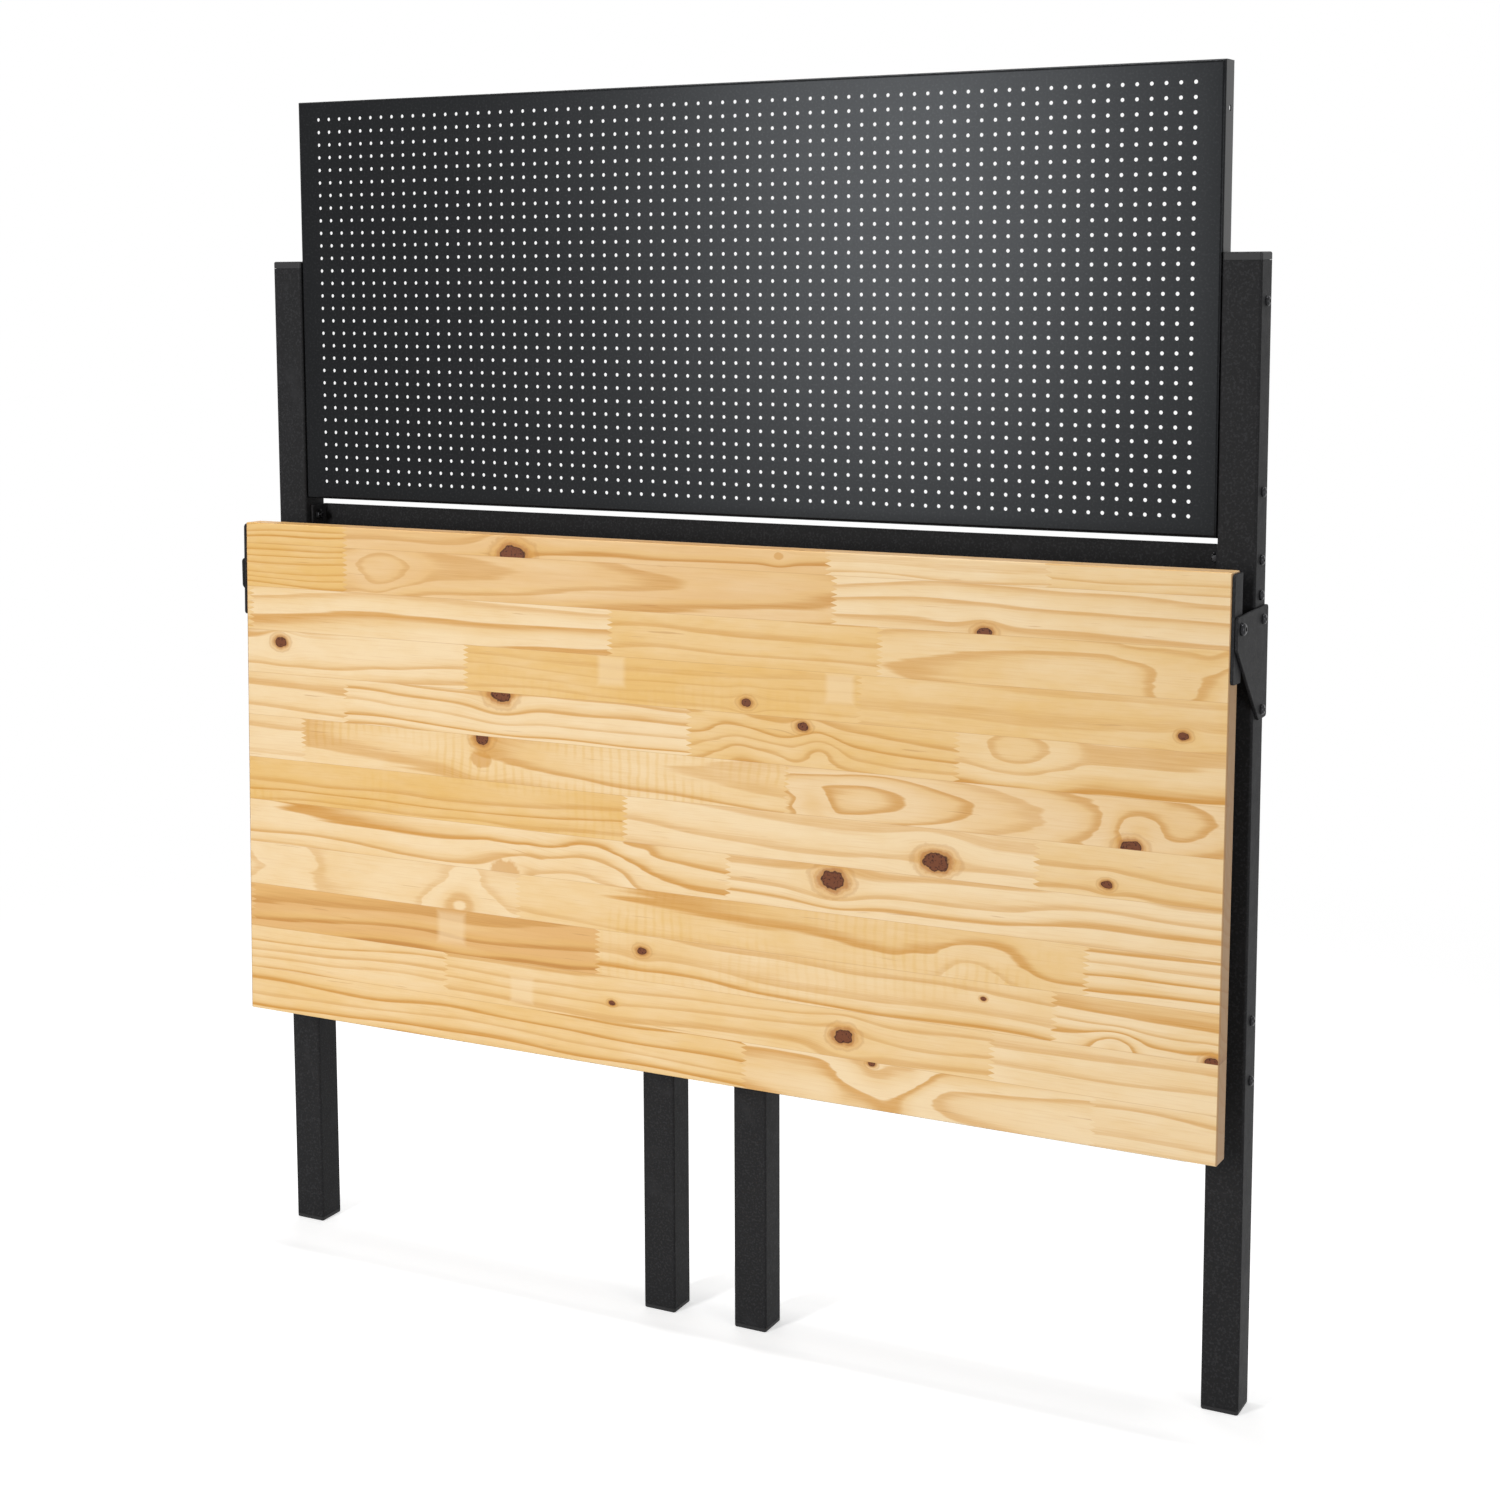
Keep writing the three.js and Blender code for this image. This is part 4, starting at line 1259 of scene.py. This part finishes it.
# Pine top
class WORKBENCH_OT_top(bpy.types.Operator):
    """Builds the finger jointed pine top"""

    bl_idname = "workbench.top"
    bl_label = "Pine top"

    def execute(self, context):
        low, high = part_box("bench_top")
        self.half = (high.x - low.x) / 2
        self.rows = self.row_edges()
        self.staves = self.draw_staves()
        data = self.board()
        finish_piece("pine_top", data, pine(), TOP_BODY, ["bench_top"])
        return {"FINISHED"}

    def row_edges(self):
        """Distances of the rows' edges from the rear edge: the first row is what is left over."""
        width = sizes().stave_width
        first = sizes().top_depth - width * (len(STAVE_ROWS) - 1)
        return [0.0] + [first + width * step for step in range(len(STAVE_ROWS))]

    def draw_staves(self):
        """One list of attribute values for each stave of each row."""
        draw = random.Random(11)
        rows = []
        for row, staves in enumerate(STAVE_ROWS):
            middle = (self.rows[row] + self.rows[row + 1]) / 2
            start = -self.half
            made = []
            for stave in staves:
                end = mm(stave.end)
                values = {
                    "stave_heart": (
                        draw.uniform(mm(18), mm(40)), self.height(middle) + mm(stave.heart), mm(stave.gap)
                    ),
                    "stave_lean": (mm(stave.lean), (start + end) / 2, stave.brown),
                    "stave_look": (stave.tone, stave.strength, draw.uniform(0, 60)),
                    "stave_marks": (
                        stave.chatter, self.height(self.rows[row]), self.height(self.rows[row + 1])
                    ),
                }
                values.update(self.knots_between(row, start, end))
                made.append(values)
                start = end
            rows.append(made)
        return rows

    def knots_between(self, row, start, end):
        found = []
        for x, below, half_length, kind in KNOTS:
            if start <= mm(x) < end and self.rows[row] <= mm(below) < self.rows[row + 1]:
                found.append(((mm(x), self.height(mm(below)), mm(half_length)), KNOT_KINDS[kind]))
        found += [(NO_KNOT, 0.0)] * (len(KNOT_LOOKS) - len(found))
        values = {name: place for name, (place, _) in zip(KNOT_LOOKS, found)}
        values["knot_kinds"] = [kind for _, kind in found]
        return values

    def height(self, below_rear):
        """Height above the pivot, in the top's own frame."""
        return sizes().pivot_from_rear - below_rear

    def finger_joint(self, row, end):
        """The zigzag of one finger joint, from the upper to the lower edge of its row."""
        upper, lower = self.rows[row], self.rows[row + 1]
        fingers = max(1, round((lower - upper) / sizes().finger_pitch))
        points = []
        for step in range(2 * fingers + 1):
            below = upper + (lower - upper) * step / (2 * fingers)
            points.append((end + sizes().finger_length * (step % 2 - 0.5), below))
        return points

    def joint_at(self, row, end, below):
        """Where a finger joint lies at one distance below the rear edge."""
        points = self.finger_joint(row, end)
        for (x_before, d_before), (x_after, d_after) in zip(points, points[1:]):
            if d_before <= below <= d_after:
                return x_before + (x_after - x_before) * (below - d_before) / (d_after - d_before)
        return end

    def stave_at(self, x, below):
        row = max(index for index, edge in enumerate(self.rows[:-1]) if edge <= below)
        for index, stave in enumerate(STAVE_ROWS[row]):
            if index == len(STAVE_ROWS[row]) - 1 or x < self.joint_at(row, mm(stave.end), below):
                return self.staves[row][index]

    def face_plan(self):
        """The flat face cut along every glue line: points as (x, distance below the rear edge), and triangles."""
        rounding = sizes().top_rounding
        reach = self.half - rounding
        near, far = rounding, sizes().top_depth - rounding
        lines = [rectangle((-reach, near), (reach, far)) + [(-reach, near)]]
        for edge in self.rows[1:-1]:
            lines.append([(-reach, edge), (reach, edge)])
        for row, staves in enumerate(STAVE_ROWS):
            for stave in staves[:-1]:
                joint = self.finger_joint(row, mm(stave.end))
                lines.append([(max(-reach, x), min(max(below, near), far)) for x, below in joint])
        points, edges = [], []
        for line in lines:
            start = len(points)
            points += [Vector(point) for point in line]
            edges += [(start + step, start + step + 1) for step in range(len(line) - 1)]
        flat, _, triangles, _, _, _ = delaunay_2d_cdt(points, edges, [], 0, mm(0.001))
        return flat, triangles

    def rim(self, points):
        """The points round the face in order, each with the ways it rounds over, several at a corner."""
        rounding = sizes().top_rounding
        reach = self.half - rounding
        near, far = rounding, sizes().top_depth - rounding
        close = mm(0.01)
        sides = (
            (0, lambda p: abs(p.y - near) < close, lambda p: p.x),
            (1, lambda p: abs(p.x - reach) < close, lambda p: p.y),
            (2, lambda p: abs(p.y - far) < close, lambda p: -p.x),
            (3, lambda p: abs(p.x + reach) < close, lambda p: -p.y),
        )
        ways = [Vector((0, -1)), Vector((1, 0)), Vector((0, 1)), Vector((-1, 0))]
        around = []
        for side, on_side, order in sides:
            members = sorted((i for i, p in enumerate(points) if on_side(p)), key=lambda i: order(points[i]))
            around += [(index, ways[side]) for index in members[:-1]]
            corner, following = members[-1], ways[(side + 1) % 4]
            for turn in quarter_turns(3)[:-1]:
                around.append((corner, ways[side] * math.cos(turn) + following * math.sin(turn)))
        return around

    def board(self):
        """The closed board: two faces cut into staves, joined by their rounded edges."""
        rounding = sizes().top_rounding
        half_thick = sizes().top_thickness / 2
        plan, triangles = self.face_plan()
        rim = self.rim(plan)
        made = bmesh.new()
        owners = {}
        rows = []
        for front in (-1, 1):
            level = front * half_thick
            base = [made.verts.new((p.x, level, self.height(p.y))) for p in plan]
            for triangle in triangles:
                middle = sum((plan[index] for index in triangle), Vector((0, 0))) / 3
                owners[made.faces.new([base[index] for index in triangle])] = (middle, 0.0)
            rings = [[base[index] for index, _ in rim]]
            for turn in quarter_turns(4)[1:]:
                out = rounding * math.sin(turn)
                back = level - front * rounding * (1 - math.cos(turn))
                spots = [(plan[index] + way * out) for index, way in rim]
                rings.append([made.verts.new((spot.x, back, self.height(spot.y))) for spot in spots])
            rows.append(rings)
        strips = rows[0] + list(reversed(rows[1]))
        for near, far in zip(strips, strips[1:]):
            for index, (plan_index, way) in enumerate(rim):
                after = (index + 1) % len(rim)
                corners = [near[index], near[after], far[after], far[index]]
                unique = [corner for step, corner in enumerate(corners) if corner not in corners[:step]]
                if len(unique) < 3:
                    continue
                middle = (plan[plan_index] + plan[rim[after][0]]) / 2
                owners[made.faces.new(unique)] = (middle, 1.0 if abs(way.x) > 0.5 else 0.0)
        bmesh.ops.recalc_face_normals(made, faces=made.faces)
        made.faces.index_update()
        made.verts.index_update()
        places = [vertex.co.copy() for vertex in made.verts]
        looks = self.face_looks(made, owners)
        made.transform(top_place())
        data = bpy.data.meshes.new("pine_top")
        made.to_mesh(data)
        made.free()
        store(data, "board_place", "POINT", places)
        for name, values in looks.items():
            store(data, name, "FACE", values)
        return data

    def face_looks(self, made, owners):
        """The values that the finish reads on each face, from the stave that the face belongs to."""
        looks = {name: [] for name in (*FACE_LOOKS, "end_grain")}
        for face in made.faces:
            middle, end_grain = owners[face]
            stave = self.stave_at(middle.x, middle.y)
            for name in FACE_LOOKS:
                looks[name].append(stave[name])
            looks["end_grain"].append((end_grain, 0.0, 0.0))
        return looks


def store(data, name, domain, vectors):
    attribute = data.attributes.new(name, "FLOAT_VECTOR", domain)
    attribute.data.foreach_set("vector", [value for vector in vectors for value in vector])


# Fasteners
ROUND_SIDES = 24


def bolt_head_mesh(radius, height, socket):
    """A domed head with a hexagon socket, its seat at zero on Z."""
    rim = height * 0.15
    flat = socket * 0.72
    rings = [at_height(circle(radius, ROUND_SIDES), 0), at_height(circle(radius, ROUND_SIDES), rim)]
    for turn in quarter_turns(5)[1:]:
        reach = flat + (radius - flat) * math.cos(turn)
        rings.append(at_height(circle(reach, ROUND_SIDES), rim + (height - rim) * math.sin(turn)))
    rings.append(at_height(hexagon(socket, ROUND_SIDES), height))
    rings.append(at_height(hexagon(socket, ROUND_SIDES), height * 0.35))
    made = bmesh.new()
    skin(made, rings)
    return mesh_from("bolt_head", made)


def shank_mesh(radius):
    """A rod one metre long below its seat, to be scaled to the grip."""
    made = bmesh.new()
    skin(made, [at_height(circle(radius, ROUND_SIDES), height) for height in (-1, 0)])
    return mesh_from("bolt_shank", made)


def nut_mesh(radius, across, height, tail):
    """A hexagon nut with chamfered corners and the end of its bolt, its seat at zero on Z."""
    corner = across / 2 / math.cos(math.pi / 6)
    chamfer = corner - across / 2
    rings = [
        at_height(hexagon(across, ROUND_SIDES, across / 2), 0),
        at_height(hexagon(across, ROUND_SIDES), -chamfer * 0.6),
        at_height(hexagon(across, ROUND_SIDES), -height + chamfer * 0.6),
        at_height(hexagon(across, ROUND_SIDES, across / 2), -height),
        at_height(circle(radius, ROUND_SIDES), -height),
        at_height(circle(radius, ROUND_SIDES), -height - tail + radius * 0.2),
        at_height(circle(radius * 0.8, ROUND_SIDES), -height - tail),
    ]
    made = bmesh.new()
    skin(made, rings)
    return mesh_from("nut", made)


def screw_mesh(radius, head_radius, length_below, socket):
    """A countersunk screw with a socket, the face of its head at zero on Z."""
    cone = head_radius - radius
    rings = [
        at_height(circle(radius * 0.3, ROUND_SIDES), -length_below),
        at_height(circle(radius, ROUND_SIDES), -length_below + 2 * radius),
        at_height(circle(radius, ROUND_SIDES), -cone),
        at_height(circle(head_radius, ROUND_SIDES), 0),
        at_height(hexagon(socket, ROUND_SIDES), 0),
        at_height(hexagon(socket, ROUND_SIDES), -cone * 0.8),
    ]
    made = bmesh.new()
    skin(made, rings)
    return mesh_from("screw", made)


def fastener_tree():
    """Sets one shape on every seat, turned and stretched as the seat says."""
    tree, given, result, identifiers = node_tree(
        "fasteners_on_seats",
        (("Shape", "NodeSocketObject"), ("Finish", "NodeSocketMaterial")),
    )

    def named(name):
        inputs = {"Name": name}
        return tree_node(tree, "GeometryNodeInputNamedAttribute", inputs, data_type="FLOAT_VECTOR").outputs[0]

    shape = tree_node(tree, "GeometryNodeObjectInfo", {"Object": given.outputs["Shape"]})
    turn = tree_node(tree, "FunctionNodeEulerToRotation", {0: named("turn")})
    placed = tree_node(
        tree,
        "GeometryNodeInstanceOnPoints",
        {
            "Points": given.outputs["Geometry"],
            "Instance": shape.outputs["Geometry"],
            "Rotation": turn.outputs[0],
            "Scale": named("stretch"),
        },
    )
    real = tree_node(tree, "GeometryNodeRealizeInstances", {0: placed.outputs[0]})
    dressed = tree_node(
        tree, "GeometryNodeSetMaterial", {"Geometry": real.outputs[0], "Material": given.outputs["Finish"]}
    )
    tree.links.new(dressed.outputs[0], result.inputs[0])
    return tree, identifiers


def fasteners(name, shape, seats, finish):
    """Copies of a shape on seats, each a place, a turn and a stretch along the shape's own Z."""
    points = bpy.data.meshes.new(f"{name}_seats")
    points.from_pydata([place for place, _, _ in seats], [], [])
    store(points, "turn", "POINT", [turn for _, turn, _ in seats])
    store(points, "stretch", "POINT", [(1, 1, stretch) for _, _, stretch in seats])
    model = new_object(f"{name}_shape", shape)
    tree, identifiers = fastener_tree()
    data = mesh_through_tree(points, tree, identifiers, {"Shape": model, "Finish": finish})
    bpy.data.objects.remove(model)
    data.name = name
    return data


def joined(name, parts):
    made = bmesh.new()
    for part in parts:
        made.from_mesh(part)
    data = bpy.data.meshes.new(name)
    made.to_mesh(data)
    made.free()
    return data


def outward_turn(side):
    """Euler angles that lay a fastener's Z along X, to the outside of the bench."""
    return (0, side * math.pi / 2, 0)


class WORKBENCH_OT_bolts(bpy.types.Operator):
    """Builds the bolts through the posts with their nuts, and the pivot bolts"""

    bl_idname = "workbench.bolts"
    bl_label = "Bolts and nuts"

    def execute(self, context):
        kinds = ("panel", "crossbar", "plate", "gate_hinge")
        self.post_bolts([f"{kind}_bolt_{end}" for kind in kinds for end in ("lower", "upper")])
        self.pivot_bolts()
        return {"FINISHED"}

    def post_bolts(self, labels):
        heads, shanks, nuts, nodes = [], [], [], []
        for side_name, side in SIDES:
            for label in labels:
                node = f"{side_name}_{label}"
                inner, outer = self.reach(node, side)
                low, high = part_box(node)
                y, z = (low.y + high.y) / 2, (low.z + high.z) / 2
                seat = outer - sizes().bolt_head_height
                nut_seat = inner + sizes().bolt_tail + sizes().nut_height
                heads.append(((side * seat, y, z), outward_turn(side), 1))
                shanks.append(((side * seat, y, z), outward_turn(side), seat - nut_seat + sizes().nut_height / 2))
                nuts.append(((side * nut_seat, y, z), outward_turn(side), 1))
                nodes.append(node)
        head = bolt_head_mesh(sizes().bolt_head_radius, sizes().bolt_head_height, sizes().bolt_socket)
        parts = [
            fasteners("post_bolt_heads", head, heads, black_steel()),
            fasteners("post_bolt_shanks", shank_mesh(sizes().bolt_radius), shanks, black_steel()),
        ]
        finish_piece("post_bolts", joined("post_bolts", parts), black_steel(), FRAME_BODY, nodes)
        nut = nut_mesh(sizes().bolt_radius, sizes().nut_across, sizes().nut_height, sizes().bolt_tail)
        data = fasteners("post_nuts", nut, nuts, black_steel())
        finish_piece("post_nuts", data, black_steel(), FRAME_BODY, [])

    def pivot_bolts(self):
        heads, shanks, nodes = [], [], []
        for side_name, side in SIDES:
            node = f"{side_name}_pivot_bolt"
            inner, outer = self.reach(node, side)
            low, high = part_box(node)
            seat = outer - sizes().pivot_head_height
            place = (side * seat, (low.y + high.y) / 2, (low.z + high.z) / 2)
            heads.append((place, outward_turn(side), 1))
            shanks.append((place, outward_turn(side), seat - inner))
            nodes.append(node)
        head = bolt_head_mesh(sizes().pivot_head_radius, sizes().pivot_head_height, sizes().pivot_socket)
        parts = [
            fasteners("pivot_bolt_heads", head, heads, black_steel()),
            fasteners("pivot_bolt_shanks", shank_mesh(sizes().pivot_radius), shanks, black_steel()),
        ]
        finish_piece("pivot_bolts", joined("pivot_bolts", parts), black_steel(), FRAME_BODY, nodes)

    def reach(self, node, side):
        """The inner and outer ends of a bolt, as distances from the middle of the bench."""
        low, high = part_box(node)
        return sorted((side * low.x, side * high.x))


class WORKBENCH_OT_bracket_screws(bpy.types.Operator):
    """Builds the countersunk screws of the top brackets"""

    bl_idname = "workbench.bracket_screws"
    bl_label = "Bracket screws"

    def execute(self, context):
        nodes = [f"{side_name}_bracket_screw_{end}" for side_name, _ in SIDES for end in ("front", "rear")]
        seats = []
        back = top_place().inverted()
        for node in nodes:
            points = [back @ vertex.co for vertex in frame["nodes"][node].data.vertices]
            low = Vector([min(point[axis] for point in points) for axis in range(3)])
            high = Vector([max(point[axis] for point in points) for axis in range(3)])
            head_radius, length_below = (high.x - low.x) / 2, high.y - low.y
            face = Vector(((low.x + high.x) / 2, high.y, (low.z + high.z) / 2))
            seats.append((top_place() @ face, (-math.pi / 2 - sizes().hang_angle, 0, 0), 1))
        screw = screw_mesh(sizes().screw_radius, head_radius, length_below, sizes().screw_socket)
        data = fasteners("bracket_screws", screw, seats, zinc_steel())
        finish_piece("bracket_screws", data, zinc_steel(), TOP_BODY, nodes)
        return {"FINISHED"}


# Gate hinges and bumpers
class WORKBENCH_OT_gate_hinges(bpy.types.Operator):
    """Builds the butt hinges of the leg gates from their solids, with softened edges"""

    bl_idname = "workbench.gate_hinges"
    bl_label = "Gate hinges"

    def execute(self, context):
        for side_name, _ in SIDES:
            for level in ("upper", "lower"):
                for part in ("post_leaf", "gate_leaf", "pin"):
                    node = f"{side_name}_{level}_hinge_{part}"
                    pinned = part == "pin"
                    finish = zinc_steel() if pinned else powder_coat()
                    finish_piece(f"{node}_steel", self.softened(node), finish, FRAME_BODY, [node])
        return {"FINISHED"}

    def softened(self, node):
        made = bmesh.new()
        made.from_mesh(frame["nodes"][node].data)
        bmesh.ops.remove_doubles(made, verts=made.verts, dist=mm(0.005))
        bmesh.ops.dissolve_limit(made, angle_limit=math.radians(2), verts=made.verts, edges=made.edges)
        sharp = [edge for edge in made.edges if len(edge.link_faces) == 2 and edge.calc_face_angle() > math.radians(50)]
        bmesh.ops.bevel(made, geom=sharp, offset=sizes().hinge_rounding, segments=2, profile=0.5, affect="EDGES")
        data = bpy.data.meshes.new(node)
        made.to_mesh(data)
        made.free()
        return data


class WORKBENCH_OT_bumpers(bpy.types.Operator):
    """Builds the rubber bumpers that the hanging top rests on"""

    bl_idname = "workbench.bumpers"
    bl_label = "Bumpers"

    def execute(self, context):
        for side_name, _ in SIDES:
            node = f"{side_name}_bumper"
            low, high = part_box(node)
            radius = (high.x - low.x) / 2
            reach = high.y - low.y
            rounding = sizes().bumper_rounding
            rings = [at_height(circle(radius, ROUND_SIDES), 0)]
            for turn in quarter_turns(5):
                ring = circle(radius - rounding * (1 - math.cos(turn)), ROUND_SIDES)
                rings.append(at_height(ring, reach - rounding * (1 - math.sin(turn))))
            made = bmesh.new()
            skin(made, rings)
            seat = Matrix.Translation(((low.x + high.x) / 2, high.y, (low.z + high.z) / 2))
            data = mesh_from(node, made, seat @ Matrix.Rotation(math.pi / 2, 4, "X"))
            finish_piece(f"{node}_moulding", data, rubber(), FRAME_BODY, [node])
        return {"FINISHED"}


# Stage
class WORKBENCH_OT_stage(bpy.types.Operator):
    """Builds the camera, the lights, the pale floor and the white surroundings"""

    bl_idname = "workbench.stage"
    bl_label = "Stage"

    def execute(self, context):
        context.scene.view_settings.view_transform = "Standard"
        self.camera(context)
        self.surroundings(context)
        self.floor()
        middle = (cad_box[0] + cad_box[1]) / 2
        lamps = (
            ("key_light", (-1.0, -3.0, 1.42), 0.42, 1.4, stage_settings().key_power),
            ("fill_light", (3.2, -1.6, 0.9), 1.2, 1.6, stage_settings().fill_power),
            ("rear_light", (-1.5, 2.6, 2.6), 2.0, 1.2, stage_settings().rear_power),
            ("overhead_light", (0.0, 0.04, 3.2), 2.2, 0.3, stage_settings().overhead_power),
        )
        for name, place, width, height, power in lamps:
            self.lamp(name, Vector(place), middle, width, height, power)
        return {"FINISHED"}

    def camera(self, context):
        chosen = stage_settings()
        data = bpy.data.cameras.new("camera")
        data.lens = chosen.camera_lens
        data.shift_x = chosen.camera_shift_x
        data.shift_y = chosen.camera_shift_y
        made = new_object("camera", data)
        turn = (
            Matrix.Rotation(chosen.camera_heading, 4, "Z")
            @ Matrix.Rotation(math.pi / 2 + chosen.camera_tilt, 4, "X")
            @ Matrix.Rotation(-chosen.camera_roll, 4, "Z")
        )
        made.matrix_world = Matrix.Translation((chosen.camera_x, chosen.camera_y, chosen.camera_z)) @ turn
        context.scene.camera = made

    def lamp(self, name, place, aim, width, height, power):
        data = bpy.data.lights.new(name, "AREA")
        data.shape = "RECTANGLE"
        data.size, data.size_y = width, height
        data.energy = power
        made = new_object(name, data)
        made.matrix_world = Matrix.Translation(place) @ (aim - place).to_track_quat("-Z", "Y").to_matrix().to_4x4()

    def seen_rays(self, tree):
        """1 for the rays that see the surroundings themselves: camera, glossy and transmission."""
        path = tree.nodes.new("ShaderNodeLightPath")
        total = path.outputs["Is Camera Ray"]
        for name in ("Is Glossy Ray", "Is Transmission Ray"):
            either = tree.nodes.new("ShaderNodeMath")
            either.operation = "MAXIMUM"
            tree.links.new(total, either.inputs[0])
            tree.links.new(path.outputs[name], either.inputs[1])
            total = either.outputs[0]
        return total

    def surroundings(self, context):
        world = bpy.data.worlds.new("surroundings")
        world.use_nodes = True
        context.scene.world = world
        tree = world.node_tree
        tree.nodes.clear()
        seen, light = tree.nodes.new("ShaderNodeBackground"), tree.nodes.new("ShaderNodeBackground")
        seen.inputs["Color"].default_value = (1, 1, 1, 1)
        light.inputs["Color"].default_value = (1, 1, 1, 1)
        light.inputs["Strength"].default_value = stage_settings().sky_level
        mix = tree.nodes.new("ShaderNodeMixShader")
        output = tree.nodes.new("ShaderNodeOutputWorld")
        tree.links.new(self.seen_rays(tree), mix.inputs[0])
        tree.links.new(light.outputs[0], mix.inputs[1])
        tree.links.new(seen.outputs[0], mix.inputs[2])
        tree.links.new(mix.outputs[0], output.inputs["Surface"])

    def floor(self):
        made = bmesh.new()
        made.faces.new([made.verts.new((point.x, point.y, 0)) for point in circle(14, 64)])
        data = bpy.data.meshes.new("floor")
        made.to_mesh(data)
        made.free()
        finish = Finish("floor")
        finish.surface(base_color=colours().floor, roughness=0.9, specular_ior_level=0.0)
        finish.feed(finish.shader.inputs["Emission Color"], (1, 1, 1))
        seen = self.seen_rays(finish.tree)
        lift = finish.multiply(seen, stage_settings().floor_lift)
        finish.feed(finish.shader.inputs["Emission Strength"], lift)
        sky = stage_settings().sky_level
        white = finish.node("ShaderNodeEmission", {"Color": (1, 1, 1), "Strength": finish.spread(seen, sky, 1.0)})
        from_middle = finish.node("ShaderNodeVectorMath", {0: finish.object_place()}, operation="LENGTH")
        away = finish.rise(
            from_middle.outputs["Value"], stage_settings().floor_near, stage_settings().floor_far
        )
        blend = finish.node("ShaderNodeMixShader", {0: away, 1: finish.shader.outputs[0], 2: white.outputs[0]})
        finish.feed(finish.output.inputs["Surface"], blend.outputs[0])
        data.materials.append(finish.material)
        new_object("floor", data)


class WORKBENCH_PT_sidebar(bpy.types.Panel):
    """Lists the pieces of the workbench"""

    bl_idname = "WORKBENCH_PT_sidebar"
    bl_label = "Workbench"
    bl_space_type = "VIEW_3D"
    bl_region_type = "UI"
    bl_category = "Workbench"

    def draw(self, context):
        for operator in OPERATORS:
            self.layout.operator(operator.bl_idname, text=operator.bl_label)


OPERATORS = (
    WORKBENCH_OT_stage,
    WORKBENCH_OT_posts,
    WORKBENCH_OT_gates,
    WORKBENCH_OT_tube_ends,
    WORKBENCH_OT_panel,
    WORKBENCH_OT_crossbar,
    WORKBENCH_OT_hinge_plates,
    WORKBENCH_OT_top_brackets,
    WORKBENCH_OT_top,
    WORKBENCH_OT_bolts,
    WORKBENCH_OT_bracket_screws,
    WORKBENCH_OT_gate_hinges,
    WORKBENCH_OT_bumpers,
)
SETTINGS = (
    ("workbench_sizes", WorkbenchSizes),
    ("workbench_colours", WorkbenchColours),
    ("workbench_stage", WorkbenchStage),
)


def register():
    for name, group in SETTINGS:
        bpy.utils.register_class(group)
        setattr(bpy.types.Scene, name, PointerProperty(type=group))
    for kind in (*OPERATORS, WORKBENCH_PT_sidebar):
        bpy.utils.register_class(kind)


def unregister():
    for kind in reversed((*OPERATORS, WORKBENCH_PT_sidebar)):
        bpy.utils.unregister_class(kind)
    for name, group in reversed(SETTINGS):
        delattr(bpy.types.Scene, name)
        bpy.utils.unregister_class(group)


def main():
    register()
    for operator in OPERATORS:
        group, name = operator.bl_idname.split(".")
        getattr(getattr(bpy.ops, group), name)()


if __name__ == "__main__":
    main()
